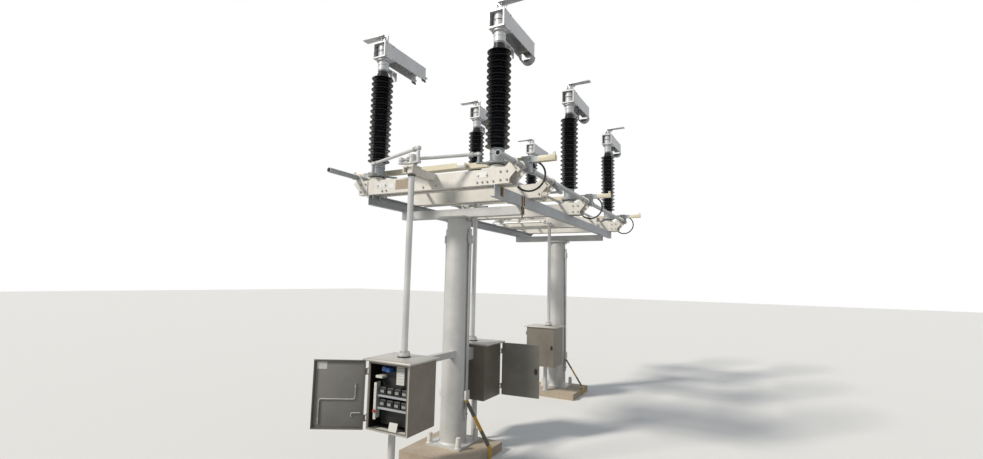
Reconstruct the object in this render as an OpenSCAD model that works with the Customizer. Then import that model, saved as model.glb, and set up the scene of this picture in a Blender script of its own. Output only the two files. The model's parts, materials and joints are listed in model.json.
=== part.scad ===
// Three-pole centre-break disconnector with two earthing switches, standing open.
// X runs along the pole bases, Y from the near pole to the far pole, Z up.
// The origin is on the near column's axis, at ground level.

/* [Layout] */
// Distance between neighbouring poles
pole_spacing = 2000; // [1700:50:2500]
// Distance between the two insulators of a pole
insulator_spacing = 1370; // [1200:10:1650]
// Distance between the two columns
column_spacing = 3000; // [2700:50:3400]

/* [Columns] */
// Height of the head plate's top above the ground
column_top = 2326; // [1900:10:3000]
// Column diameter at the foot
column_foot_d = 268; // [220:2:320]
// Column diameter at the head
column_head_d = 244; // [200:2:300]
// Side of the square base plate
base_plate_w = 390; // [340:10:480]
// Side of the square head plate
head_plate_w = 300; // [260:10:380]
// Thickness of the base plate and the head plate
column_plate_t = 16; // [10:1:30]
// Side of the square footing
footing_w = 720; // [600:10:900]
// Height of the footing above the ground
footing_h = 85; // [60:5:250]
// Footing centre, measured along X from the column's axis
footing_dx = 50; // [-60:5:60]
// Footing centre, measured along Y from the column's axis
footing_dy = -90; // [-100:5:100]

/* [Frame] */
// Height of the beams across the column heads
head_beam_h = 85; // [65:5:120]
// Height of the two long cross beams
cross_beam_h = 105; // [80:5:140]
// Flange width of the cross beams
cross_flange = 48; // [40:1:65]
// Height of the channels in the pole bases and drive beams
base_h = 140; // [120:5:180]
// Flange width of the base channels
base_flange = 58; // [45:1:70]
// Width of a pole base over its two webs
base_w = 164; // [140:2:200]
// Length of a pole base beyond the insulator's axis
base_overhang = 165; // [140:5:220]
// Web and flange thickness of all channels
steel_t = 7; // [5:0.5:10]
// Distance of a drive beam from its column, towards the middle
drive_beam_offset = 234; // [200:2:400]

/* [Insulators] */
// Height of the shedded part
shed_stack_h = 966; // [800:2:1200]
// Diameter of the large sheds
shed_d = 223; // [190:1:240]
// Number of large sheds
shed_count = 16; // [12:1:20]
// Diameter of the lower metal fitting
fitting_d = 130; // [110:2:150]
// Height of the lower metal fitting above the lever plate
fitting_h = 114; // [90:2:150]

/* [Contact arms] */
// Reach of an arm from the insulator's axis
arm_reach = 640; // [560:5:660]
// Width of the arm's box section
arm_w = 150; // [130:2:170]
// Height of the arm's box section
arm_h = 150; // [120:2:170]
// Sheet thickness of the arm
arm_t = 8; // [5:0.5:12]

/* [Earthing switches] */
// Diameter of the two earthing shafts
earth_shaft_d = 50; // [42:1:60]
// Distance of the shafts outside the insulators' axes
earth_shaft_outset = 200; // [190:2:230]
// Section of the earthing blades
blade_w = 50; // [40:1:56]
// Height of the blades' centre line above the shafts
blade_rise = 74; // [60:0.5:90]
// Length of the levers that turn the earthing shafts
earth_lever_r = 130; // [110:2:150]

/* [Cabinets] */
// Cabinet width
cabinet_w = 420; // [360:10:520]
// Cabinet depth without the door
cabinet_d = 365; // [320:5:450]
// Cabinet height
cabinet_h = 550; // [480:10:700]
// Height of the cabinets' underside above the ground
cabinet_z = 460; // [380:10:600]
// Cabinet sheet thickness
sheet_t = 3; // [2:0.5:5]
// Angle to which the first cabinet's door stands open
door_1_angle = 150; // [0:5:170]
// Angle to which the second cabinet's door stands open
door_2_angle = 175; // [0:5:175]

/* [Hidden] */
$fn = 48;

// Gap between faces that move on each other
seat = 0.3;
// Radial gap of a pin or shaft in its eye
fit = 0.3;

// Places of poles, insulators and beams
row_mid = column_spacing / 2;
function pole_y(n) = row_mid + (n - 2) * pole_spacing;
insulator_x = insulator_spacing / 2;
cross_outset = 31;
cross_x = insulator_x + cross_outset;
near_drive_y = drive_beam_offset;
far_drive_y = column_spacing - drive_beam_offset;

// Levels
tube_z = footing_h + column_plate_t;
head_plate_z = column_top - column_plate_t;
head_beam_z = column_top;
cross_z = head_beam_z + head_beam_h;
base_z = cross_z + cross_beam_h;
base_top = base_z + base_h;

// Parts of a pole base
gusset_t = 8;
gusset_len = 110;
base_half = insulator_x + base_overhang;
base_outer_w = base_w + 2 * gusset_t;
deck_t = 8;
deck_len = 220;
bearing_d = 130;
bearing_h = 48;
shaft_x = insulator_x + earth_shaft_outset;
shaft_rise = 48;
shaft_z = base_top + shaft_rise;
shaft_r = earth_shaft_d / 2;
shaft_bearing_t = 18;
shaft_bearing_wall = 12;

// Turntable and levers
lever_z = base_top + deck_t + bearing_h + seat;
lever_t = 12;
lever_end_r = 24;
turntable_d = 190;
lever_pin_d = 20;
fitting_z = lever_z + lever_t;
shed_z = fitting_z + fitting_h;
neck_z = shed_z + shed_stack_h;

// Interphase levers point inwards, at this angle to the base, and swing through to its mirror image
interphase_angle = 45;
interphase_r = 170;
interphase_pin_d = 16;
interphase_d = 34;
interphase_eye_d = 46;
interphase_gap = 5;
interphase_z = lever_z - interphase_gap - interphase_d / 2;

// Main drive: its pipe, and the drive levers on the two turntables of pole 1
main_x = 44;
main_dy = -385;
main_y = pole_y(1) + main_dy;
main_pipe_d = 54;
left_lever = [45, -127];
right_lever = [-136, -90];
left_lever_closed = [left_lever.y, -left_lever.x];
right_lever_closed = [-right_lever.y, right_lever.x];
main_at = [main_x, main_y];
left_axis = [-insulator_x, pole_y(1)];
right_axis = [insulator_x, pole_y(1)];

// The pipe turns half a turn. Its cranks are in line with their rods when the contacts stand
// open, and a crank's radius is the one whose rod then also fits the closed place.
function crank_r(near, far) =
    (norm(far) ^ 2 - norm(near) ^ 2) / (2 * (norm(near) + far * near / norm(near)));
left_near = left_axis + left_lever - main_at;
left_far = left_axis + left_lever_closed - main_at;
left_crank = -crank_r(left_near, left_far) * left_near / norm(left_near);
right_near = right_axis + right_lever - main_at;
right_far = right_axis + right_lever_closed - main_at;
right_crank = -crank_r(right_near, right_far) * right_near / norm(right_near);

crank_z = base_top + 28;
crank_t = 16;
rod_d = 30;
rod_eye_d = 48;
rod_eye_h = 24;
rod_post_d = 30;
left_rod_z = base_top + 159;
right_rod_z = crank_z + crank_t + 22;
right_rod_rise = 76;

// Heads
neck_d = 104;
neck_h = 42;
cap_d = 110;
cap_h = 118;
cap_z = neck_z + neck_h;
frame_z = cap_z + cap_h;
frame_h = 169;
frame_plate = 14;
frame_half = 80;
hub_d = 120;
hub_gap = 0.5;
stem_d = 44;
arm_top = frame_z + frame_h;

// Earthing blades lie beside each other, above the bases. Swung up, the middle of a blade's
// tip stands beside the lower edge of an insulator's cap.
blade_z = shaft_z + blade_rise;
blade_tip_h = cap_z - shaft_z;
blade_reach = sqrt(blade_tip_h ^ 2 + earth_shaft_outset ^ 2 - blade_rise ^ 2);
earth_swing = atan2(blade_tip_h, earth_shaft_outset) - atan2(blade_rise, blade_reach);
left_blade_y = 145;
right_blade_y = 207;
jaw_gap = 6;
jaw_t = 10;
jaw_len = 60;
jaw_depth = 80;
jaw_top = cap_z + blade_w / 2 * cos(earth_swing) + 28;
// Half the length of the block that clamps a blade to its shaft
clamp_half = 45;
// Length of a blade's tail beyond that block
tail_l = 229;

// Earthing drives: pipe, crank, rod and shaft lever lie in one plane beside the drive beam
earth_pipe_d = 48;
earth_pipe_offset = 153;
left_earth_pipe_at = [5, far_drive_y - earth_pipe_offset];
right_earth_pipe_at = [-30, near_drive_y + earth_pipe_offset];
earth_lever_t = 24;
earth_eye_t = 28;
earth_eye_d = 46;
earth_eye_beside = (earth_lever_t + earth_eye_t) / 2 + seat;
earth_crank_r = earth_lever_r * sin(earth_swing / 2);
earth_lever_drop = earth_lever_r * cos(earth_swing / 2);
earth_rod_z = shaft_z - earth_lever_drop;
earth_crank_t = 14;
earth_rod_d = 26;

// Cabinets
cabinet_top = cabinet_z + cabinet_h;
cabinet_1_at = [44, pole_y(1) - 395];
cabinet_2_at = [10, 395];
cabinet_3_at = [-35, column_spacing - 420];
door_t = 20;
door_gap = 3;
hinge_out = 9;
hinge_pin_d = 8;
hinge_knuckle_d = 16;
hinge_knuckle_h = 40;
hinge_lug_t = 5;
hinge_z = [90, cabinet_h - 90];
output_d = 40;
boss_d = 90;
boss_h = 25;
post_d = 60;
post_1_dx = -85;

steel = [0.74, 0.75, 0.76];
paint = [0.86, 0.87, 0.87];
concrete = [0.62, 0.58, 0.52];
rubber = [0.06, 0.06, 0.07];
cream = [0.86, 0.84, 0.76];
cabinet_grey = [0.55, 0.55, 0.54];

// A channel along X with its web towards -Y, standing on z = 0
module channel(length, h, flange, t) {
    translate([-length / 2, 0, 0]) rotate([90, 0, 90]) linear_extrude(length)
        polygon([[0, 0], [flange, 0], [flange, t], [t, t],
                 [t, h - t], [flange, h - t], [flange, h], [0, h]]);
}

// Two channels back to back with their webs outwards
module channel_pair(length, w, h, flange, t) {
    for (side = [0, 1]) mirror([0, side, 0]) translate([0, -w / 2, 0]) channel(length, h, flange, t);
}

// A flat lever from the axis to a point, with a round eye that is a little wider than the bar
module lever(to, t, eye_r) {
    bar_w = 2 * eye_r - 8;
    linear_extrude(t) {
        translate(to) circle(eye_r);
        rotate(atan2(to.y, to.x)) translate([0, -bar_w / 2]) square([norm(to), bar_w]);
    }
}

module footings() {
    color(concrete) for (y = [0, column_spacing])
        translate([footing_dx - footing_w / 2, y + footing_dy - footing_w / 2, 0])
            cube([footing_w, footing_w, footing_h]);
}

// The tapered tube, or with a gap the space that other pieces leave for it
module column_tube(gap = 0) {
    translate([0, 0, tube_z]) cylinder(h = head_plate_z - tube_z, d1 = column_foot_d + 2 * gap,
        d2 = column_head_d + 2 * gap, $fn = 96);
}

module column() {
    anchor_at = base_plate_w / 2 - 32;
    translate([-base_plate_w / 2, -base_plate_w / 2, footing_h])
        cube([base_plate_w, base_plate_w, column_plate_t]);
    column_tube();
    translate([-head_plate_w / 2, -head_plate_w / 2, head_plate_z])
        cube([head_plate_w, head_plate_w, column_plate_t]);
    for (x = [-1, 1], y = [-1, 1])
        translate([x * anchor_at, y * anchor_at, tube_z]) cylinder(h = 95, d = 48);
}

module columns() {
    color(steel) for (y = [0, column_spacing]) translate([0, y, 0]) column();
}

module head_beams() {
    color(steel) for (y = [0, column_spacing])
        translate([0, y, head_beam_z]) channel_pair(2 * cross_x, 100, head_beam_h, 40, steel_t);
}

module cross_beams() {
    near_end = pole_y(1) - base_outer_w / 2;
    far_end = pole_y(3) + base_outer_w / 2;
    color(steel) for (side = [0, 1]) mirror([side, 0, 0])
        translate([cross_x, (near_end + far_end) / 2, cross_z]) rotate(90)
            channel(far_end - near_end, cross_beam_h, cross_flange, steel_t);
}

// The plate on a base's end that rises to the earthing shaft, notched round it
module gusset() {
    rotate([90, 0, 0]) linear_extrude(gusset_t) difference() {
        polygon([[base_half - gusset_len, base_z], [base_half, base_z],
                 [base_half, base_z + 39], [base_half + 75, base_z + 121],
                 [base_half + 12, base_z + 177], [base_half - 52, base_top],
                 [base_half - gusset_len, base_top]]);
        translate([shaft_x, shaft_z]) circle(shaft_r + 6);
    }
}

// A ring round the earthing shaft; its foot lies against the gusset and ends at the channel
module shaft_bearing() {
    rotate([90, 0, 0]) linear_extrude(shaft_bearing_t) difference() {
        translate([shaft_x, shaft_z]) {
            circle(shaft_r + shaft_bearing_wall);
            rotate(-135) translate([0, -26]) square([78, 52]);
        }
        translate([shaft_x, shaft_z]) circle(shaft_r + fit);
        translate([0, base_z]) square([base_half, base_h]);
    }
}

// Both gussets and shaft bearings at the +X end of a base or beam
module shaft_end() {
    for (side = [0, 1]) mirror([0, side, 0]) {
        translate([0, -base_w / 2, 0]) gusset();
        translate([0, shaft_bearing_t - base_w / 2, 0]) shaft_bearing();
    }
}

module pole_base() {
    translate([0, 0, base_z]) channel_pair(2 * base_half, base_w, base_h, base_flange, steel_t);
    for (side = [0, 1]) mirror([side, 0, 0]) translate([insulator_x - deck_len / 2, 0, 0]) {
        translate([0, -base_w / 2, base_top]) cube([deck_len, base_w, deck_t]);
        translate([0, -base_w / 2 + steel_t, base_z]) cube([steel_t, base_w - 2 * steel_t, base_h]);
    }
}

module pole_base_1() {
    color(paint) translate([0, pole_y(1), 0]) pole_base();
}

module pole_base_2() {
    color(paint) translate([0, pole_y(2), 0]) pole_base();
}

module pole_base_3() {
    color(paint) translate([0, pole_y(3), 0]) pole_base();
}

// The housings of the insulators' bearings, one on each deck
module bearing_housings() {
    color(paint) for (n = [1:3], side = [-1, 1])
        translate([side * insulator_x, pole_y(n), base_top + deck_t]) cylinder(h = bearing_h, d = bearing_d);
}

// The gussets and bearings that hold the earthing shafts at the ends of the bases and drive beams
module shaft_brackets() {
    color(paint) {
        for (n = [1:3], side = [0, 1]) translate([0, pole_y(n), 0]) mirror([side, 0, 0]) shaft_end();
        translate([0, near_drive_y, 0]) shaft_end();
        translate([0, far_drive_y, 0]) rotate(180) shaft_end();
    }
}

// The arm on pole base 1 that holds the top of the main drive pipe
module drive_bracket() {
    plate_w = 120;
    plate_t = 12;
    rail_h = 60;
    rail_flange = 40;
    rail_at = 50;
    rail_l = plate_w / 2 - main_dy - base_w / 2;
    color(paint) translate([main_x, pole_y(1), base_top]) difference() {
        union() {
            translate([0, -base_w / 2 - rail_l / 2, -rail_h]) rotate(90) {
                translate([0, rail_at, 0]) mirror([0, 1, 0]) channel(rail_l, rail_h, rail_flange, steel_t);
                translate([0, -rail_at, 0]) channel(rail_l, rail_h, rail_flange, steel_t);
            }
            translate([-plate_w / 2, main_dy - plate_w / 2, 0]) cube([plate_w, plate_w, plate_t]);
            translate([0, main_dy, -rail_h]) cylinder(h = rail_h + plate_t, d = main_pipe_d + 28);
        }
        translate([0, main_dy, -rail_h - 1])
            cylinder(h = rail_h + plate_t + 2, d = main_pipe_d + 2 * fit);
    }
}

// A beam whose side holds an earthing pipe
module drive_beam(pipe_x, pipe_y) {
    start = -cross_x;
    bracket_z = base_z + 15;
    translate([(start + base_half) / 2, 0, base_z])
        channel_pair(base_half - start, base_w, base_h, base_flange, steel_t);
    difference() {
        union() {
            translate([pipe_x - 40, base_w / 2, bracket_z]) cube([80, pipe_y - base_w / 2, 30]);
            translate([pipe_x, pipe_y, bracket_z]) cylinder(h = 30, d = 80);
        }
        translate([pipe_x, pipe_y, bracket_z - 1]) cylinder(h = 32, d = earth_pipe_d + 2 * fit);
    }
}

module drive_beams() {
    color(paint) {
        translate([0, near_drive_y, 0])
            drive_beam(right_earth_pipe_at.x, right_earth_pipe_at.y - near_drive_y);
        translate([0, far_drive_y, 0]) rotate(180)
            drive_beam(-left_earth_pipe_at.x, far_drive_y - left_earth_pipe_at.y);
    }
}

// A cabinet whose door side faces -Y; its width is centred on x = 0 and its depth on y = 0
module cabinet(pipe) {
    rim = 22;
    front = -cabinet_d / 2;
    hinge_x = -cabinet_w / 2 - hinge_out;
    hinge_y = front - door_gap - door_t / 2;
    translate([0, 0, cabinet_z]) difference() {
        translate([-cabinet_w / 2, front, 0]) cube([cabinet_w, cabinet_d, cabinet_h]);
        translate([-cabinet_w / 2 + sheet_t, front + sheet_t, sheet_t])
            cube([cabinet_w - 2 * sheet_t, cabinet_d - 2 * sheet_t, cabinet_h - 2 * sheet_t]);
        translate([-cabinet_w / 2 + rim, front - 1, rim])
            cube([cabinet_w - 2 * rim, sheet_t + 2, cabinet_h - 2 * rim]);
        translate([pipe.x, pipe.y, cabinet_h - 2 * sheet_t]) cylinder(h = 3 * sheet_t, d = boss_d + 2);
    }
    for (z = hinge_z) translate([hinge_x, hinge_y, cabinet_z + z]) {
        cylinder(h = hinge_knuckle_h + 2 * hinge_lug_t, d = hinge_pin_d, center = true);
        for (end = [0, 1]) mirror([0, 0, end]) translate([0, 0, hinge_knuckle_h / 2 + seat]) {
            cylinder(h = hinge_lug_t, d = hinge_knuckle_d);
            translate([-4, 0, 0]) cube([8, front - hinge_y + 18, hinge_lug_t]);
            translate([-4, front - hinge_y, 0]) cube([hinge_out + sheet_t + 4, 18, hinge_lug_t]);
        }
    }
}

// A door for the cabinet above, in its closed place
module cabinet_door() {
    hinge_x = -cabinet_w / 2 - hinge_out;
    back = -cabinet_d / 2 - door_gap;
    difference() {
        translate([-cabinet_w / 2, back - door_t, cabinet_z]) cube([cabinet_w, door_t, cabinet_h]);
        translate([-cabinet_w / 2 + sheet_t, back - door_t + sheet_t, cabinet_z + sheet_t])
            cube([cabinet_w - 2 * sheet_t, door_t, cabinet_h - 2 * sheet_t]);
    }
    for (z = hinge_z) translate([hinge_x, back - door_t / 2, cabinet_z + z]) difference() {
        union() {
            cylinder(h = hinge_knuckle_h, d = hinge_knuckle_d, center = true);
            translate([0, -4, -hinge_knuckle_h / 2]) cube([hinge_out + sheet_t, 8, hinge_knuckle_h]);
        }
        cylinder(h = hinge_knuckle_h + 2, d = hinge_pin_d + 2 * fit, center = true);
    }
    translate([cabinet_w / 2 - 45, back - door_t - 8, cabinet_z + cabinet_h * 0.5 - 30]) cube([22, 8, 60]);
}

// Swings a door about its hinge
module open_door(angle) {
    hinge = [-cabinet_w / 2 - hinge_out, -cabinet_d / 2 - door_gap - door_t / 2, 0];
    translate(hinge) rotate(-angle) translate(-hinge) cabinet_door();
}

module cabinet_1() {
    color(cabinet_grey) translate(cabinet_1_at) cabinet([main_x, main_y] - cabinet_1_at);
}

module cabinet_2() {
    color(cabinet_grey) translate(cabinet_2_at) rotate(180) cabinet(cabinet_2_at - right_earth_pipe_at);
}

module cabinet_3() {
    color(cabinet_grey) translate(cabinet_3_at) cabinet(left_earth_pipe_at - cabinet_3_at);
}

module door_1() {
    color(cabinet_grey) translate(cabinet_1_at) open_door(door_1_angle);
}

module door_2() {
    color(cabinet_grey) translate(cabinet_2_at) rotate(180) open_door(door_2_angle);
}

module door_3() {
    color(cabinet_grey) translate(cabinet_3_at) open_door(0);
}

// A post from its foot up to a plate under a cabinet
module cabinet_post(at, foot) {
    translate([at.x, at.y, foot]) {
        cylinder(h = cabinet_z - foot, d = post_d);
        cylinder(h = 8, d = post_d + 36);
        translate([-70, -70, cabinet_z - foot - 10]) cube([140, 140, 10]);
    }
}

// The posts under the cabinets, and the arms from the cabinets to the columns
module cabinet_supports() {
    arm_h = 60;
    arm_z = cabinet_top - 80;
    color(paint) {
        cabinet_post(cabinet_1_at + [post_1_dx, 0], 0);
        cabinet_post(cabinet_2_at, 0);
        cabinet_post(cabinet_3_at + [0, 20], footing_h);
        difference() {
            translate([10, cabinet_1_at.y + cabinet_d / 2, arm_z])
                cube([60, -cabinet_1_at.y - cabinet_d / 2, arm_h]);
            column_tube(seat);
        }
        difference() {
            translate([-90, 0, arm_z - 60]) cube([180, cabinet_2_at.y - cabinet_d / 2, 120]);
            translate([-80, -1, arm_z - 70]) cube([160, cabinet_2_at.y - cabinet_d / 2 - 7, 140]);
            column_tube(seat);
        }
        difference() {
            translate([-50, cabinet_3_at.y + cabinet_d / 2, arm_z])
                cube([60, column_spacing - cabinet_3_at.y - cabinet_d / 2, arm_h]);
            translate([0, column_spacing, 0]) column_tube(seat);
        }
    }
}

// The gear housing under a cabinet's roof, with its bearing boss round the output shaft
module mechanism(pipe) {
    back = cabinet_d / 2 - sheet_t;
    roof = cabinet_top - sheet_t;
    difference() {
        union() {
            translate([-170, back - 5, cabinet_z + 60]) cube([340, 5, cabinet_h - 100]);
            translate([pipe.x - 90, pipe.y - 75, roof - 180]) cube([180, back - pipe.y + 75, 180]);
            translate([pipe.x, pipe.y, roof]) cylinder(h = boss_h + sheet_t, d = boss_d);
            translate([-150, -20, cabinet_z + 90]) cube([300, back + 20, 200]);
        }
        translate([pipe.x, pipe.y, roof - 120]) cylinder(h = 200, d = output_d + 2 * fit);
    }
}

module mechanisms() {
    color(steel) {
        translate(cabinet_1_at) mechanism([main_x, main_y] - cabinet_1_at);
        translate(cabinet_2_at) rotate(180) mechanism(cabinet_2_at - right_earth_pipe_at);
        translate(cabinet_3_at) mechanism(left_earth_pipe_at - cabinet_3_at);
    }
}

// A line terminal at the head's axis; its palm points to -X
module terminal() {
    palm_l = 263;
    palm_w = 80;
    palm_t = 12;
    pad_top = arm_top + 102;
    difference() {
        union() {
            translate([0, 0, frame_z + frame_h / 2 + hub_gap])
                cylinder(h = frame_h / 2 - frame_plate - 2 * hub_gap, d = hub_d);
            translate([0, 0, frame_z + frame_h / 2 + hub_gap]) cylinder(h = frame_h / 2 + 12, d = stem_d);
            translate([-10, -palm_w / 2, arm_top + 8]) cube([20, palm_w, 94]);
            translate([-10 - palm_l, -palm_w / 2, pad_top - palm_t]) cube([palm_l + 2, palm_w, palm_t]);
            translate([-10, 5, 0]) rotate([90, 0, 0]) linear_extrude(10)
                polygon([[1, arm_top + 20], [1, pad_top - palm_t], [-150, pad_top - palm_t]]);
        }
        for (x = [-1, 1], y = [-1, 1])
            translate([-10 - palm_l + 45 + x * 25, y * 25, pad_top - 50]) cylinder(h = 60, d = 14);
    }
}

module terminals() {
    color(paint) for (n = [1:3], side = [0, 1])
        translate([0, pole_y(n), 0]) mirror([side, 0, 0]) translate([-insulator_x, 0, 0]) terminal();
}

// Flat strips down both sides of a column, held off it by clamps
module earth_strips() {
    strip_w = 40;
    strip_t = 5;
    strip_x = column_foot_d / 2 + 6;
    color(paint) for (y = [0, column_spacing], side = [0, 1]) translate([0, y, 0]) mirror([side, 0, 0]) {
        translate([strip_x, -strip_w / 2, tube_z + 214])
            cube([strip_t, strip_w, head_plate_z - tube_z - 318]);
        difference() {
            for (z = [tube_z + 234, head_plate_z - 224])
                translate([column_head_d / 2 - 20, -22, z]) cube([strip_x - column_head_d / 2 + 20, 44, 90]);
            column_tube(seat);
        }
    }
}

// Stations of a flexible lead: each is an angle on its hanging ring and a Y
lead_r = 9;
lead_ring_r = 145;
lead_drop = 55;
lead_from = 200;
lead_to = 450;
lead_run = [base_w / 2 + gusset_t, 240, 322];
lead_steps = 22;
lead_stations = concat(
    [for (i = [0:1]) [lead_from, lead_run[0] + i * (lead_run[1] - lead_run[0]) / 2]],
    [for (i = [0:lead_steps]) [lead_from + (lead_to - lead_from) * i / lead_steps,
                               lead_run[1] + (lead_run[2] - lead_run[1]) * i / lead_steps]]);
function lead_out(s) = [cos(s[0]), 0, sin(s[0])];
function lead_at(s) = [shaft_x, s[1], shaft_z - lead_drop] + lead_ring_r * lead_out(s);

// A lead leaves the base's side, hangs in one turn below the shaft and ends on a clamp above it
module flexible_lead() {
    sides = 8;
    last = len(lead_stations) - 1;
    points = [for (i = [0:last])
        let (s = lead_stations[i],
             along = lead_at(lead_stations[min(i + 1, last)]) - lead_at(lead_stations[max(i - 1, 0)]),
             across = cross(lead_out(s), along / norm(along)))
        for (k = [0:sides - 1])
            lead_at(s) + lead_r * (cos(k * 360 / sides) * lead_out(s) + sin(k * 360 / sides) * across)];
    walls = [for (i = [0:last - 1], k = [0:sides - 1])
        let (a = i * sides + k, b = i * sides + (k + 1) % sides)
        each [[a, b, a + sides], [b, b + sides, a + sides]]];
    polyhedron(points, concat(walls, [[for (k = [sides - 1:-1:0]) k]],
                              [[for (k = [0:sides - 1]) last * sides + k]]));
}

// The ring with a lug on which a lead ends; the lead's end is a little out of square with it
module lead_clamp() {
    lug_t = 12;
    lug_gap = lead_r * sin((lead_to - lead_from) / lead_steps / 2 + 4) + fit;
    difference() {
        union() {
            translate([shaft_x, lead_run[2], shaft_z]) rotate([90, 0, 0])
                cylinder(h = 24, r = shaft_r + 10, center = true);
            translate([shaft_x - lug_gap - lug_t, lead_run[2] - 12, shaft_z])
                cube([lug_t, 24, lead_ring_r - lead_drop + lead_r]);
        }
        translate([shaft_x, lead_run[2], shaft_z]) rotate([90, 0, 0])
            cylinder(h = 26, r = shaft_r + fit, center = true);
    }
}

module flexible_leads() {
    color([0.12, 0.12, 0.13]) for (n = [1:3], side = [0, 1])
        translate([0, pole_y(n), 0]) mirror([side, 0, 0]) flexible_lead();
}

module lead_clamps() {
    color(steel) for (n = [1:3], side = [0, 1])
        translate([0, pole_y(n), 0]) mirror([side, 0, 0]) lead_clamp();
}

// The rotating foot of an insulator: lever plate and lower fitting. Side 1 is the right row.
module turntable(n, side) {
    inward = side == 1 ? 180 - interphase_angle : interphase_angle;
    pin_at = interphase_r * [cos(inward), sin(inward)];
    drive = side == 1 ? right_lever : left_lever;
    rod_z = side == 1 ? right_rod_z + right_rod_rise : left_rod_z;
    stub_h = rod_z - rod_eye_h / 2 - seat - lever_z;
    color(paint) translate([side == 1 ? insulator_x : -insulator_x, pole_y(n), lever_z]) {
        cylinder(h = lever_t, d = turntable_d);
        lever(pin_at, lever_t, lever_end_r);
        translate([pin_at.x, pin_at.y, -interphase_gap - interphase_d]) {
            cylinder(h = interphase_d + interphase_gap + 1, d = interphase_pin_d);
        }
        if (n == 1) {
            lever(drive, lever_t, lever_end_r);
            translate([drive.x, drive.y, 0]) cylinder(h = stub_h, d = rod_post_d);
            if (side == 1)
                translate([drive.x, drive.y, 0]) cylinder(h = stub_h + rod_eye_h + 6, d = lever_pin_d);
        }
        translate([0, 0, lever_t]) {
            cylinder(h = 14, d = fitting_d + 24);
            cylinder(h = fitting_h, d = fitting_d);
        }
    }
}

module turntable_1_left() { turntable(1, -1); }
module turntable_1_right() { turntable(1, 1); }
module turntable_2_left() { turntable(2, -1); }
module turntable_2_right() { turntable(2, 1); }
module turntable_3_left() { turntable(3, -1); }
module turntable_3_right() { turntable(3, 1); }

// Sheds of two sizes on one core, with the dark upper fitting
module insulator(n, side) {
    core_r = 60;
    pitch = shed_stack_h / (shed_count + 0.5);
    function shed(z, r, drop, edge) =
        [[core_r, z - drop - edge], [r - 3, z - drop - edge], [r, z - drop - edge / 2], [r - 3, z - drop],
         [core_r, z]];
    outline = [
        [0, 0], [core_r + 6, 0], [core_r + 6, 14],
        for (i = [0:shed_count - 1]) each concat(
            shed(20 + (i + 0.5) * pitch, shed_d / 2, 12, 6),
            i < shed_count - 1 ? shed(20 + (i + 1) * pitch, shed_d / 2 - 20, 10, 5) : []),
        [core_r, shed_stack_h], [neck_d / 2, shed_stack_h], [neck_d / 2, shed_stack_h + neck_h],
        [0, shed_stack_h + neck_h],
    ];
    color(rubber) translate([side * insulator_x, pole_y(n), shed_z])
        rotate_extrude($fn = 72) polygon(outline);
}

module insulator_1_left() { insulator(1, -1); }
module insulator_1_right() { insulator(1, 1); }
module insulator_2_left() { insulator(2, -1); }
module insulator_2_right() { insulator(2, 1); }
module insulator_3_left() { insulator(3, -1); }
module insulator_3_right() { insulator(3, 1); }

// The part common to both arms: cap, open frame round the hub, box arm, earthing jaw
module arm_body(jaw_y) {
    half = arm_w / 2;
    jaw_half = blade_w / 2 + jaw_gap;
    translate([0, 0, cap_z]) cylinder(h = cap_h, d = cap_d);
    translate([0, 0, frame_z - 20]) cylinder(h = 20, d = cap_d + 30);
    difference() {
        union() {
            translate([-frame_half, -frame_half, frame_z]) cube([2 * frame_half, 2 * frame_half, frame_plate]);
            for (x = [-frame_half, frame_half - 12])
                translate([x, -frame_half, frame_z]) cube([12, 2 * frame_half, frame_h]);
            translate([-frame_half, -frame_half, arm_top - frame_plate])
                cube([2 * frame_half, 2 * frame_half, frame_plate]);
        }
        translate([0, 0, arm_top - frame_plate - 1]) cylinder(h = frame_plate + 2, d = stem_d + 6);
    }
    translate([0, 0, frame_z + frame_plate]) cylinder(h = frame_h / 2 - frame_plate - hub_gap, d = hub_d);
    for (x = [-half, half - arm_t])
        translate([x, frame_half, arm_top - arm_h]) cube([arm_t, arm_reach - frame_half, arm_h]);
    translate([-half, frame_half, arm_top - arm_t]) cube([arm_w, arm_reach - frame_half, arm_t]);
    translate([-jaw_len / 2, 40, jaw_top]) cube([jaw_len, jaw_y + jaw_half + jaw_t - 40, 12]);
    for (y = [jaw_y - jaw_half - jaw_t, jaw_y + jaw_half])
        translate([-jaw_len / 2, y, jaw_top - jaw_depth]) cube([jaw_len, jaw_t, jaw_depth + 1]);
}

// The tongue that enters the other arm's fingers
module male_arm(n) {
    color(paint) translate([-insulator_x, pole_y(n), 0]) {
        arm_body(left_blade_y);
        translate([-arm_w / 2 + 1, arm_reach - 90, arm_top - 90]) cube([arm_w - 2, 60, 30]);
        translate([-30, arm_reach - 90, arm_top - 85]) cube([60, 90 + 100, 20]);
    }
}

module female_arm(n) {
    color(paint) translate([insulator_x, pole_y(n), 0]) {
        arm_body(right_blade_y);
        translate([-arm_w / 2 + 1, arm_reach - 90, arm_top - 110]) cube([arm_w - 2, 50, 70]);
        for (z = [arm_top - 106, arm_top - 56])
            translate([-40, arm_reach - 60, z]) cube([80, 60 + 60, 12]);
    }
}

module arm_1_left() { male_arm(1); }
module arm_2_left() { male_arm(2); }
module arm_3_left() { male_arm(3); }
module arm_1_right() { female_arm(1); }
module arm_2_right() { female_arm(2); }
module arm_3_right() { female_arm(3); }

// A vertical drive pipe with its shaft into a gear housing and a flange coupling above the cabinet
module drive_pipe(top, d) {
    coupling_z = cabinet_top + boss_h + 5;
    translate([0, 0, cabinet_top - 115]) cylinder(h = 200, d = output_d);
    translate([0, 0, coupling_z]) cylinder(h = 30, d = 100);
    translate([0, 0, coupling_z]) cylinder(h = top - coupling_z, d = d);
}

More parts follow.
